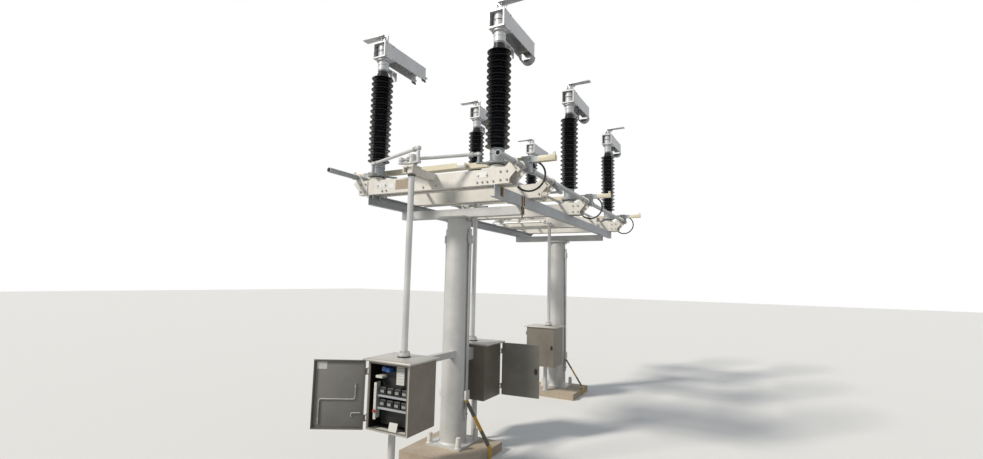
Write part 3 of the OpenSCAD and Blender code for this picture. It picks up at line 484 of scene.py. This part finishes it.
# Contact arms are welded aluminium box sections and castings, silvery white. A cap casting carries
# an open frame with the current joint's hub inside it, and small bolts hold the plates together.
arm_metal = speckled("arm_aluminium", (0.62, 0.63, 0.64), (0.51, 0.52, 0.54), 220, 0.4, 0.06, 0.3, 0.0, 0.3)
frame_half = 0.080
cap_circle, top_hole, side_hole = 0.0625, 0.062, 0.055
hub_middle = frame_z + frame_h / 2
for post, body, x, y in posts:
    finish_with(arm_metal, f"arm_{post}")
    under = [((x + a, y + b, frame_z - 0.020), down_way) for a, b in circle(cap_circle, 8, 0.39)]
    over = [((x + a * top_hole, y + b * top_hole, arm_top), up_way) for a, b in corners]
    beside = [((x + a * frame_half, y + b * side_hole, z), (a, 0, 0)) for a, b in corners
              for z in (frame_z + 0.012, arm_top - 0.012)]
    done(copies(tiny, under + over + beside), f"head_bolts_{post}", body, bolt_zinc)
    lip = turned([(0.0600, 0), (0.0625, 0.002), (0.0625, 0.010), (0.0600, 0.012)],
                 (x, y, hub_middle - 0.015), sides=48)
    rim = turned([(0.0552, 0), (0.0580, 0.002), (0.0580, 0.010), (0.0552, 0.012)],
                 (x, y, cap_z + 0.050), sides=48)
    foot = turned([(0.0600, 0), (0.0640, 0.001), (0.0640, 0.012), (0.0600, 0.014)],
                  (x, y, frame_z + 0.014), sides=48)
    done(joined([lip, rim, foot]), f"hub_rings_{post}", body, arm_metal)
    seal = turned([(0.0602, -0.0030), (0.0612, -0.0025), (0.0612, 0.0025), (0.0602, 0.0030)],
                  (x, y, hub_middle), sides=48)
    done(seal, f"hub_seal_{post}", body, rubber)

# The male arm ends in a flat silvered tongue between two side plates with hooked ends. The hooks
# are bar stock bent round, and they catch the female arm's lower bar.
silver = speckled("contact_silver", (0.74, 0.73, 0.70), (0.60, 0.59, 0.56), 260, 0.28, 0.06, 0.85, spread=0.4)
dark_cast = speckled("dark_casting", (0.105, 0.105, 0.11), (0.055, 0.055, 0.06), 180, 0.55, 0.2, 0.3,
                     spread=0.4)
arm_reach, arm_w, arm_t = 0.640, 0.150, 0.008
arm_bottom = arm_top - 0.150
hook_bend, hook_wide, hook_long = 0.020, 0.022, 0.075


def pick(piece, test):
    """Enters edit mode with only the faces selected that pass the test."""
    hold(piece)
    bpy.ops.object.mode_set(mode="EDIT")
    bpy.ops.mesh.select_mode(type="FACE")
    bpy.ops.mesh.select_all(action="DESELECT")
    bpy.ops.object.mode_set(mode="OBJECT")
    for face in piece.data.polygons:
        face.select = test(face)
    bpy.ops.object.mode_set(mode="EDIT")


def hook(x, y, z):
    """A flat bar that runs along Y and is bent up at its end: a small face spun round the bend."""
    bpy.ops.object.select_all(action="DESELECT")
    bpy.ops.mesh.primitive_plane_add(size=1, location=(x, y, z - hook_bend), rotation=(pi / 2, 0, 0))
    piece = bpy.context.object
    piece.scale = (arm_t * 0.9, hook_wide, 1)
    bpy.ops.object.transform_apply(location=True, rotation=True, scale=True)
    bpy.ops.object.mode_set(mode="EDIT")
    bpy.ops.mesh.select_all(action="SELECT")
    bpy.ops.mesh.extrude_region_move(TRANSFORM_OT_translate={"value": (0, -hook_long, 0)})
    bpy.ops.object.mode_set(mode="OBJECT")
    pick(piece, lambda face: abs(face.center.y - y) < 0.001)
    bpy.ops.mesh.spin(steps=10, angle=radians(205), center=(x, y, z), axis=(1, 0, 0))
    bpy.ops.mesh.select_all(action="SELECT")
    bpy.ops.mesh.remove_doubles(threshold=0.00005)
    bpy.ops.mesh.normals_make_consistent(inside=False)
    bpy.ops.object.mode_set(mode="OBJECT")
    return piece


for number, y in enumerate(pole_y, 1):
    x, tip = -insulator_x, y + arm_reach
    hooks = joined([hook(x + a * (arm_w - arm_t) / 2, tip + 0.006, arm_bottom + 0.008) for a in (-1, 1)])
    done(hooks, f"male_hooks_{number}", f"left_{number}", dark_cast, 50)
    shoe = block((x - 0.0312, tip + 0.012, arm_top - 0.0862), (x + 0.0312, tip + 0.1012, arm_top - 0.0638),
                 0.007, 4)
    done(shoe, f"tongue_shoe_{number}", f"left_{number}", silver)

# The female arm's fingers are spring-loaded copper bars with a dulled silver coat, five above and
# five below the tongue. A round-backed hood of sheet covers them from beneath; it is closed at
# its outer end. The hood's dark grey is painted shade, standing for the shade under the arm.
finger_metal = speckled("finger_copper", (0.42, 0.39, 0.35), (0.28, 0.25, 0.22), 240, 0.35, 0.06, 0.8)
finger_step, finger_half = 0.0155, 0.006
hood_z, hood_radius, hood_long = arm_bottom + 0.006, 0.074, 0.090
grips = ((arm_top - 0.1065, arm_top - 0.114, -1), (arm_top - 0.0435, arm_top - 0.036, 1))
for number, y in enumerate(pole_y, 1):
    x, tip = insulator_x, y + arm_reach
    fingers, springs = [], []
    for k in range(5):
        place = x + (k - 2) * finger_step
        for face_z, back_z, out in grips:
            fingers.append(block((place - finger_half, tip - 0.055, face_z),
                                 (place + finger_half, tip + 0.066, back_z), 0.0025, 3))
            springs.append(turned([(0.0050, 0), (0.0050, 0.003), (0.0042, 0.0035), (0.0042, 0.006),
                                   (0.0050, 0.0065), (0.0050, 0.009), (0.0040, 0.010)],
                                  (place, tip + 0.010, back_z), (0, 0, out), 14))
    done(joined(fingers), f"fingers_{number}", f"right_{number}", finger_metal)
    done(joined(springs), f"finger_springs_{number}", f"right_{number}", bolt_zinc)
    bpy.ops.object.select_all(action="DESELECT")
    bpy.ops.mesh.primitive_cylinder_add(vertices=40, radius=hood_radius, depth=hood_long,
                                        end_fill_type="NGON", location=(x, tip - 0.015, hood_z),
                                        rotation=(pi / 2, 0, 0))
    hood = bpy.context.object
    bpy.ops.object.transform_apply(location=True, rotation=True, scale=True)
    bpy.ops.object.mode_set(mode="EDIT")
    bpy.ops.mesh.select_all(action="SELECT")
    bpy.ops.mesh.bisect(plane_co=(x, y, hood_z), plane_no=(0, 0, 1), clear_outer=True)
    bpy.ops.object.mode_set(mode="OBJECT")
    pick(hood, lambda face: face.normal.y < -0.9)
    bpy.ops.mesh.delete(type="FACE")
    bpy.ops.object.mode_set(mode="OBJECT")
    wall = hood.modifiers.new("wall", "SOLIDIFY")
    wall.thickness = 0.004
    wall.offset = -1
    bpy.ops.object.modifier_apply(modifier="wall")
    # The hood's dark grey is painted shade under the arm.
    done(hood, f"female_hood_{number}", f"right_{number}", fitting_grey_and_hood_shade)

# Line terminals: an upper hub on a stem, and above the frame an upright flag with a palm welded to
# it. The flag faces the row's front and is drilled for six bolts; a rounded web stiffens the palm.
palm_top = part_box("terminals")[1][2]
palm_t, palm_half, palm_back, palm_reach = 0.012, 0.040, 0.010, 0.273
hole_out, hole_half = 0.228, 0.025
flag_w, flag_t = 0.092, 0.022
web_reach = 0.088


def cut(piece, cutter):
    """Takes the cutter's volume out of the piece."""
    less = piece.modifiers.new("cut", "BOOLEAN")
    less.operation = "DIFFERENCE"
    less.solver = "EXACT"
    less.object = cutter
    hold(piece)
    bpy.ops.object.modifier_apply(modifier="cut")
    drop(cutter)
    return piece


def terminal(x, y, out):
    """One terminal; its palm points along X, outwards."""
    under_palm = palm_top - palm_t
    hub = turned([(0.0600, 0.0032), (0.0625, 0.005), (0.0625, 0.013), (0.0600, 0.015), (0.0600, 0.067),
                  (0.0575, 0.0695), (0.0220, 0.0697), (0.0220, 0.089), (0.0330, 0.0895), (0.0330, 0.098),
                  (0.0300, 0.100)], (x, y, hub_middle), sides=48)
    flag = block((x - flag_w / 2, y - flag_t / 2, arm_top + 0.010),
                 (x + flag_w / 2, y + flag_t / 2, palm_top - palm_t / 2), 0.003)
    palm = block((x - out * palm_back, y - palm_half, under_palm),
                 (x + out * palm_reach, y + palm_half, palm_top), 0.0025)
    holes = [turned([(0.007, 0), (0.007, 0.030)],
                    (x + out * (hole_out + a * hole_half), y + b * hole_half, palm_top - 0.020), sides=20)
             for a, b in corners]
    palm = cut(palm, joined(holes))
    web_from, web_to = flag_w / 2 - 0.001, flag_w / 2 + web_reach
    web = block((x + out * web_from, y - 0.005, under_palm - web_reach),
                (x + out * web_to, y + 0.005, palm_top - palm_t / 2))
    round_cut = turned([(web_reach, 0), (web_reach, 0.030)],
                       (x + out * web_to, y + 0.015, under_palm - web_reach), (0, -1, 0), 64)
    return joined([hub, flag, palm, cut(web, round_cut)])


terminals = [terminal(side * insulator_x, y, side) for y in pole_y for side in (-1, 1)]
done(joined(terminals), "line_terminals", "frame", arm_metal)
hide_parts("terminals")
flag_bolt = bolt(0.015, stud=0.004)
flag_places = [((side * insulator_x + a * 0.023, y + face * flag_t / 2, arm_top + 0.024 + row * 0.026),
                (0, face, 0)) for y in pole_y for side in (-1, 1) for face in (-1, 1)
               for a in (-1, 1) for row in range(3)]
done(copies(flag_bolt, flag_places), "terminal_bolts", "frame", bolt_zinc)
drop(flag_bolt)

# The earthing shafts are galvanised tubes in bearings at every base. A blade is clamped to them at
# each pole by a bolted block; the tail beyond it balances the blade. A cream sleeve covers most of
# the tail, and an upright lug stands at its end.
zinc_shaft = speckled("shaft_zinc", (0.46, 0.48, 0.49), (0.35, 0.37, 0.38), 200, 0.45, 0.1, 0.45, 0.14, 0.35)
finish_with(zinc_shaft, "left_earth_shaft", "right_earth_shaft")
blade_cream = speckled("blade_coat", (0.78, 0.72, 0.56), (0.70, 0.64, 0.48), 200, 0.4, 0.05, 0.0, 0.12, 0.3)
finish_with(blade_cream, "left_earth_blades", "right_earth_blades")
blade_z = shaft_z + 0.074
tail_end = shaft_x + 0.045 + 0.229
near_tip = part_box("right_earth_blades")[0][0]
over_blade, lug_half = 0.0265, 0.006
clamp_x, clamp_y, clamp_z = 0.031, 0.030, (-0.024, 0.046, 0.086)


def round_blade(side, y, start, end, half, edge, steps):
    """A square sleeve round a blade, between two distances from the middle of the row."""
    return block((side * start, y - half, blade_z - half), (side * end, y + half, blade_z + half),
                 edge, steps)


for side, side_name, beside in ((-1, "left", 0.145), (1, "right", 0.207)):
    body = f"{side_name}_earth"
    bolts, shoes, lugs = [], [], []
    for pole in pole_y:
        y = pole + beside
        bolts += [((side * shaft_x + a * clamp_x, y + face * clamp_y, shaft_z + z), (0, face, 0))
                  for a in (-1, 1) for face in (-1, 1) for z in clamp_z]
        shoes.append(round_blade(side, y, near_tip - 0.0005, near_tip + 0.085, over_blade, 0.004, 3))
        lugs.append(round_blade(side, y, tail_end - 0.165, tail_end - 0.0025, 0.0258, 0.002, 2))
        lug = block((side * (tail_end - 0.026), y - lug_half, blade_z + 0.020),
                    (side * tail_end, y + lug_half, blade_z + 0.056), 0.003, 3)
        eye = turned([(0.006, 0), (0.006, 0.03)], (side * (tail_end - 0.013), y + 0.015, blade_z + 0.043),
                     (0, -1, 0), 20)
        lugs.append(cut(lug, eye))
        lugs.append(round_blade(side, y, tail_end - 0.002, tail_end + 0.003, over_blade, 0.0015, 2))
    done(copies(small, bolts), f"blade_clamp_bolts_{side_name}", body, bolt_zinc)
    done(joined(shoes), f"blade_shoes_{side_name}", body, silver)
    done(joined(lugs), f"tail_lugs_{side_name}", body, blade_cream)

# Drive hardware: lock nuts next to the eyes of every rod, a split sleeve above the main pipe's
# crank, a black ring under its bearing, and six bolts on each pipe's coupling flange.
joint_at = {joint["name"]: Vector(joint["pos_m"]) for joint in frame["record"]["behaviour"]["joints"]}
lock_h, eye_gap, rod_gap = 0.022, 0.045, 0.050
lock = turned([(0.0225, 0), (0.0245, 0.002), (0.0245, 0.020), (0.0225, lock_h)], sides=6)
thin_lock = turned([(0.0160, 0), (0.0175, 0.002), (0.0175, 0.014), (0.0160, 0.016)], sides=6)
left_end = Vector((-insulator_x + 0.045, pole_y[0] - 0.127, joint_at["left_drive_rod_turn"].z))
right_end = Vector((-0.037836, -0.932805, base_top + 0.066))
for side_name, end in (("left", left_end), ("right", right_end)):
    start = joint_at[f"{side_name}_drive_rod_turn"]
    along = (end - start).normalized()
    fits = [(start + along * rod_gap, along), (end - along * (rod_gap + lock_h), along)]
    done(copies(lock, fits), f"{side_name}_rod_nuts", f"{side_name}_drive_rod", bolt_zinc)
pole_step = pole_y[1] - pole_y[0]
for outward, side_name in both_sides:
    first = joint_at[f"{side_name}_interphase_turn"]
    fits = [(first + Vector((0, pin * pole_step + way * eye_gap, 0)), (0, way, 0))
            for pin, way in ((0, 1), (1, -1), (1, 1), (2, -1))]
    done(copies(lock, fits), f"interphase_nuts_{side_name}", f"{side_name}_interphase_rod",
         bolt_zinc)
    crank_pin = joint_at[f"{side_name}_earth_rod_turn"]
    fits = [(crank_pin + Vector((outward * 0.060, 0, 0)), (outward, 0, 0)),
            (Vector((outward * (shaft_x - eye_gap), crank_pin.y, crank_pin.z)), (-outward, 0, 0))]
    done(copies(thin_lock, fits), f"earth_rod_nuts_{side_name}", f"{side_name}_earth_rod",
         bolt_zinc)
drop(lock, thin_lock)
pipe_at = joint_at["main_pipe_turn"]
sleeve = turned([(0.0270, 0.044), (0.0330, 0.045), (0.0330, 0.068), (0.0300, 0.070), (0.0300, 0.092),
                 (0.0330, 0.094), (0.0330, 0.116), (0.0270, 0.117), (0.0180, 0.117)],
                (pipe_at.x, pipe_at.y, base_top), sides=40)
done(sleeve, "main_pipe_sleeve", "main_pipe", zinc_rods)
plastic_black = speckled("black_plastic", (0.028, 0.028, 0.030), (0.016, 0.016, 0.018), 220, 0.4, 0.1,
                         spread=0.4)
collar = turned([(0.0275, -0.078), (0.0345, -0.077), (0.0345, -0.066), (0.0275, -0.065)],
                (pipe_at.x, pipe_at.y, base_top), sides=40)
done(collar, "main_pipe_ring", "main_pipe", plastic_black)
cabinet_top = 1.010
coupling_z, coupling_circle = cabinet_top + 0.060, 0.039
pipes = [("main_pipe", pipe_at), ("right_earth_pipe", joint_at["right_earth_pipe_turn"]),
         ("left_earth_pipe", joint_at["left_earth_pipe_turn"])]
for pipe_name, axis in pipes:
    spots = [((axis.x + a, axis.y + b, coupling_z), up_way) for a, b in circle(coupling_circle, 6)]
    neck_ring = turned([(0.0255, 0.060), (0.0300, 0.061), (0.0285, 0.072), (0.0255, 0.074)],
                       (axis.x, axis.y, cabinet_top), sides=40)
    done(joined([copies(tiny, spots), neck_ring]), f"{pipe_name}_coupling", pipe_name,
         bolt_zinc)

# The cabinets are stainless sheet, brushed and a little warm, with dust on their sides. A folded lid
# overhangs the door so that rain drips off clear of it, and a black gasket seals each pipe's boss.
cabinet_sheet = speckled("cabinet_sheet", (0.23, 0.205, 0.170), (0.170, 0.150, 0.122), 300, 0.42, 0.05, 0.4,
                         0.16, 0.3)
finish_with(cabinet_sheet, "cabinet_1", "cabinet_2", "cabinet_3", "door_1", "door_3")
door_sheet = speckled("second_door_sheet", (0.235, 0.225, 0.205), (0.175, 0.167, 0.152), 300, 0.42, 0.05,
                      0.5, 0.16, 0.3)
finish_with(door_sheet, "door_2")
lid_sheet = speckled("lid_sheet", (0.52, 0.50, 0.46), (0.42, 0.40, 0.37), 300, 0.4, 0.05, 0.4, 0.1, 0.3)
gear_grey = speckled("gear_housing_paint", (0.27, 0.28, 0.28), (0.19, 0.20, 0.20), 120, 0.5, 0.1, 0.1, 0.0,
                     0.4)
finish_with(gear_grey, "mechanisms")
cabinet_w, cabinet_d, cabinet_low = 0.420, 0.365, 0.460
lid_side, lid_front, lid_back = 0.036, 0.042, 0.010
cabinet_at = ((0.044, -0.895, -1), (0.010, 0.395, 1), (-0.035, 2.580, -1))
for number, (x, y, face) in enumerate(cabinet_at, 1):
    half_w = cabinet_w / 2 + lid_side
    lid = block((x - half_w, y + face * (cabinet_d / 2 + lid_front), cabinet_top + 0.0006),
                (x + half_w, y - face * (cabinet_d / 2 + lid_back), cabinet_top + 0.016), 0.004, 3)
    pick(lid, lambda face: face.normal.z > 0.99 and face.area > 0.02)
    bpy.ops.mesh.inset(thickness=0.014, depth=0.0)
    bpy.ops.mesh.inset(thickness=0.006, depth=0.0035)
    bpy.ops.object.mode_set(mode="OBJECT")
    done(lid, f"cabinet_lid_{number}", "frame", lid_sheet)
    axis = pipes[number - 1][1]
    gland = turned([(0.0452, 0), (0.058, 0.001), (0.058, 0.006), (0.047, 0.010), (0.0452, 0.010)],
                   (axis.x, axis.y, cabinet_top + 0.019), sides=48)
    done(gland, f"boss_gasket_{number}", "frame", plastic_black)


# Doors are folded sheet pans with a foam gasket, a black oval latch outside, and inside a bent
# lock rod in clips. The first stands wide open and its inside faces the viewer.
def on_door(piece, number, name, coat):
    """Seats a piece modelled in a door's own axes: X along it from its hinge, Y towards the cabinet."""
    pivot = joint_at[f"door_{number}_hinge"]
    piece.data.transform(Matrix.Translation((pivot.x, pivot.y, 0))
                         @ Matrix.Rotation(door_turns[number], 4, "Z"))
    done(piece, name, f"door_{number}", coat)


def rod_through(points, radius):
    """A bent round rod through these points."""
    hold(line_through(points, radius, 2))
    bpy.ops.object.convert(target="MESH")
    return bpy.context.object


door_coat = speckled("door_inner_coat", (0.225, 0.22, 0.20), (0.175, 0.17, 0.155), 220, 0.5, 0.08, 0.1, 0.1,
                     0.3)
gasket_foam = speckled("gasket_foam", (0.20, 0.19, 0.17), (0.14, 0.135, 0.12), 400, 0.9, 0.4, spread=0.4)
sticker_white = speckled("bare_sticker", (0.72, 0.72, 0.69), (0.62, 0.62, 0.59), 60, 0.5, 0.05, spread=0.4)
door_turns = {1: radians(-150), 2: radians(5), 3: 0.0}
door_l, door_r, door_low, door_high = 0.009, 0.429, cabinet_low, cabinet_top
seal_w, seal_inset = 0.007, 0.003
latch_z = (door_low + door_high) / 2
rod_mid = latch_z - 0.037
rod_low, rod_r, rod_l, bend = door_low + 0.040, 0.375, 0.083, 0.018
rod_route = [(rod_r, 0.001, rod_low), (rod_r, 0.001, rod_mid - bend),
             (rod_r - bend * 0.3, 0.001, rod_mid - bend * 0.3), (rod_r - bend, 0.001, rod_mid),
             (rod_l + bend, 0.001, rod_mid), (rod_l + bend * 0.3, 0.001, rod_mid + bend * 0.3),
             (rod_l, 0.001, rod_mid + bend), (rod_l, 0.001, rod_mid + 0.125)]
clip_at = ((rod_r, door_low + 0.075), (0.300, rod_mid), (0.150, rod_mid), (rod_l, rod_mid + 0.100))
for number in (1, 2, 3):
    latch = turned([(0.0135, 0), (0.0155, 0.002), (0.0155, 0.0085), (0.0135, 0.0105)], sides=32)
    latch.data.transform(Matrix.Diagonal((1, 2.15, 1, 1)))
    grip = turned([(0.0085, 0.0085), (0.0085, 0.016), (0.0070, 0.019)], sides=24)
    grip.data.transform(Matrix.Diagonal((0.85, 3.0, 1, 1)))
    handle = joined([latch, grip])
    handle.data.transform(Matrix.Translation((door_r - 0.034, -0.010, latch_z))
                          @ Matrix.Rotation(pi / 2, 4, "X"))
    on_door(handle, number, f"door_handle_{number}", plastic_black)
    strips = [block((door_l + seal_inset, -0.0072, z), (door_r - seal_inset, 0.0085, z + seal_w), 0.002, 2)
              for z in (door_low + seal_inset, door_high - seal_inset - seal_w)]
    strips += [block((x, -0.0072, door_low + 0.0032 + seal_w),
                     (x + seal_w, 0.0085, door_high - 0.0032 - seal_w), 0.002, 2)
               for x in (door_l + seal_inset, door_r - seal_inset - seal_w)]
    on_door(joined(strips), number, f"door_gasket_{number}", gasket_foam)
    panel = block((door_l + 0.014, -0.0072, door_low + 0.014), (door_r - 0.014, -0.0052, door_high - 0.014),
                  0.0015, 2)
    on_door(panel, number, f"door_lining_{number}", door_coat)
    rod = rod_through(rod_route, 0.0045)
    clips = [block((x - 0.007, -0.0055, z - 0.007), (x + 0.007, 0.0065, z + 0.007), 0.002, 2)
             for x, z in clip_at]
    on_door(joined([rod] + clips), number, f"lock_rod_{number}", bolt_zinc)
    if number == 1:
        sticker = block((0.325, -0.0054, 0.934), (0.405, -0.0046, 0.992), 0.0003, 1)
        on_door(sticker, number, "door_sticker", sticker_white)
        stay = rod_through([(0.108, 0.002, 0.560), (0.112, 0.002, 0.578), (0.104, 0.003, 0.590),
                            (0.080, 0.003, 0.592), (0.048, 0.002, 0.592), (0.034, 0.001, 0.592)], 0.0055)
        on_door(stay, number, "door_stay", bolt_zinc)
    if number == 2:
        bare = block((0.120, -0.0112, 0.722), (0.232, -0.0096, 0.752), 0.0005, 1)
        on_door(bare, number, "door_2_plate", door_coat)


# Inside the first cabinet a dark enamelled sheet carries a slotted cable duct, a row of terminals,
# two blue relays, a red knob and two shelves of black devices with bare labels. A blank leaflet leans
# there on a white floor sheet. Bright folded rims edge the door openings of the first two cabinets.
def on_board(x0, x1, z0, z1, out, back=0.0005, edge=0.001, steps=1):
    """A block in front of the equipment board: out and back are its faces' distances from it."""
    return block((x0, board_y - out, z0), (x1, board_y - back, z1), edge, steps)


panel_dark = speckled("panel_enamel", (0.022, 0.022, 0.022), (0.014, 0.014, 0.014), 200, 0.45, 0.06, 0.2,
                      spread=0.3)
plastic_white = speckled("white_plastic", (0.70, 0.70, 0.66), (0.62, 0.62, 0.58), 200, 0.45, 0.05, spread=0.3)
label_grey = speckled("device_label_grey", (0.34, 0.34, 0.32), (0.26, 0.26, 0.25), 200, 0.5, 0.05, spread=0.3)
plastic_blue = speckled("blue_plastic", (0.05, 0.16, 0.46), (0.04, 0.12, 0.36), 200, 0.4, 0.05, spread=0.3)
plastic_red = speckled("red_plastic", (0.55, 0.09, 0.04), (0.42, 0.06, 0.03), 200, 0.35, 0.05, spread=0.3)
board_y = -0.985
shelf_z, device_step = (0.640, 0.738), 0.074
board = block((-0.098, board_y, 0.500), (0.235, board_y + 0.004, 0.990), 0.0015, 2)
lining = [block((x, -1.060, 0.4645), (x + 0.002, -0.720, 1.005), 0.0006, 1) for x in (-0.1625, 0.2485)]
shelves = []
for z in shelf_z:
    shelves.append(on_board(-0.085, 0.230, z, z + 0.003, 0.062))
    shelves.append(on_board(-0.085, 0.230, z - 0.012, z + 0.003, 0.064, 0.061))
done(joined([board] + lining), "equipment_board", "frame", panel_dark)
done(joined(shelves), "equipment_shelves", "frame", beam_zinc_with_painted_shade)
slots = [turned([(0.0035, 0), (0.0035, 0.012)], (-0.098, board_y - 0.068, 0.565 + 0.022 * k), (0, -1, 0), 12)
         for k in range(12)]
duct = [cut(on_board(-0.112, -0.086, 0.545, 0.835, 0.078, 0.072, 0.0015, 2), joined(slots)),
        on_board(-0.112, -0.109, 0.545, 0.835, 0.078, 0.002)]
row = [on_board(0.092, 0.172, 0.836 + 0.012 * k, 0.8472 + 0.012 * k, 0.052 - 0.003 * (k % 2), edge=0.0012)
       for k in range(13)]
leaflet = block((0.035, -1.043, 0.4650), (0.112, -1.040, 0.535), 0.001, 1)
leaflet.data.transform(Matrix.Translation((0.07, -1.04, 0.465)) @ Matrix.Rotation(radians(-16), 4, "X")
                       @ Matrix.Rotation(radians(8), 4, "Z") @ Matrix.Translation((-0.07, 1.04, -0.465)))
block_top = on_board(-0.108, -0.040, 0.872, 0.892, 0.070, edge=0.003, steps=2)
floor_sheet = block((-0.160, -1.072, 0.4635), (0.248, -0.990, 0.4665), 0.001, 1)
done(joined(duct + row + [leaflet, block_top, floor_sheet]), "panel_fittings", "frame",
     plastic_white)
relays = [on_board(-0.052 + 0.040 * k, -0.014 + 0.040 * k, 0.930 - 0.006 * k, 0.966 - 0.006 * k, 0.062,
                   edge=0.004, steps=3) for k in range(2)]
done(joined(relays), "panel_relays", "frame", plastic_blue)
knob = turned([(0.011, 0), (0.012, 0.003), (0.012, 0.012), (0.009, 0.016)], (-0.099, board_y - 0.077, 0.612),
              (0, -1, 0), 24)
done(knob, "panel_knob", "frame", plastic_red)
devices, faces = [], []
for z in shelf_z:
    for k in range(4):
        x = k * device_step
        devices.append(on_board(x - 0.070, x - 0.006, z + 0.003, z + 0.065, 0.054, edge=0.005, steps=3))
        devices.append(on_board(x - 0.061, x - 0.015, z + 0.017, z + 0.051, 0.0615, 0.050, 0.003, 2))
        faces.append(on_board(x - 0.056, x - 0.020, z + 0.023, z + 0.043, 0.0625, 0.0610, 0.0005))
done(joined(devices), "panel_devices", "frame", plastic_black)
done(joined(faces), "device_faces", "frame", label_grey)
rims = []
for x, y, face in cabinet_at[:2]:
    half_w, plane = cabinet_w / 2, y + face * cabinet_d / 2
    raised = plane + face * 0.0016
    rims += [block((x - half_w, plane, z), (x + half_w, raised, z + 0.011), 0.0006, 1)
             for z in (cabinet_low, cabinet_top - 0.0112)]
    rims += [block((x + a, plane, cabinet_low + 0.0112), (x + a + 0.011, raised, cabinet_top - 0.0114),
                   0.0006, 1) for a in (-half_w, half_w - 0.011)]
done(joined(rims), "cabinet_rims", "frame", lid_sheet)

# The earth strips on the columns are flat bar, held by white cleats and zinc bolts. On the right side
# of each column the strip's foot, painted in black and ochre bands, slants from the lower cleat to
# the footing's edge and goes down into the soil there.
banded, tree, shader = new_paint("banded_paint")
bands_per_metre = 4.1
place = tree.nodes.new("ShaderNodeTexCoord").outputs["Object"]
height = add(tree, "SeparateXYZ", {"Vector": place})
count = add(tree, "Math", {0: height.outputs["Z"], 1: bands_per_metre}, operation="MULTIPLY")
part_of = add(tree, "Math", {0: count.outputs["Value"]}, operation="FRACT")
tone = add(tree, "ValToRGB", {"Fac": part_of.outputs["Value"]})
tone.color_ramp.interpolation = "CONSTANT"
tone.color_ramp.elements[0].color = (0.58, 0.33, 0.025, 1)
tone.color_ramp.elements[1].position = 0.5
tone.color_ramp.elements[1].color = (0.035, 0.033, 0.03, 1)
dirt = add(tree, "TexNoise", {"Vector": place, "Scale": 60, "Detail": 5})
worn = add(tree, "MapRange", {"Value": dirt.outputs["Fac"], "From Min": 0.45, "From Max": 0.8, "To Max": 0.7})
dust = add(tree, "Mix", {"Factor": worn.outputs["Result"], "A": tone.outputs["Color"],
                         "B": (0.34, 0.29, 0.22, 1)}, data_type="RGBA")
wire(tree, shader, {"Base Color": dust.outputs["Result"], "Roughness": 0.6})
strip_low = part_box("earth_strips")[0][2]
strip_out = 0.268 / 2 + 0.006
strip_half, strip_t = 0.0290, 0.0062
footing_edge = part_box("footings")[1][0] + 0.006
outline = [(strip_out + 0.0052, 0.530), (strip_out + 0.0056, 0.505),
           (footing_edge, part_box("footings")[1][2] + 0.016), (footing_edge, 0.001)]
feet = []
for where in column_y:
    mesh = bpy.data.meshes.new("strip")
    dots = [(x, where + e * strip_half, z) for x, z in outline for e in (-1, 1)]
    mesh.from_pydata(dots, [], [(2 * k, 2 * k + 1, 2 * k + 3, 2 * k + 2) for k in range(len(outline) - 1)])
    foot = bpy.data.objects.new("strip", mesh)
    bpy.context.collection.objects.link(foot)
    bar = foot.modifiers.new("bar", "SOLIDIFY")
    bar.thickness = strip_t
    bar.offset = 1
    hold(foot)
    bpy.ops.object.modifier_apply(modifier="bar")
    feet.append(foot)
done(joined(feet), "banded_strip_feet", "frame", banded)
cleats = [block((side * (strip_out + off) - half_x, where - half_y, low),
                (side * (strip_out + off) + half_x, where + half_y, high), 0.004, 3)
          for off, half_x, half_y, low, high in ((0.003, 0.016, 0.034, 0.510, 0.600),
                                                 (0.001, 0.013, 0.032, 2.056, 2.140))
          for where in column_y for side in (-1, 1)]
done(joined(cleats), "strip_sleeves", "frame", cap_white)
clamps = [((side * (strip_out + 0.006), where, z), (side, 0, 0)) for where in column_y for side in (-1, 1)
          for z in (strip_low + 0.062, head_z - 0.195)]
done(copies(small, clamps), "strip_bolts", "frame", bolt_zinc)
drop(small, tiny)
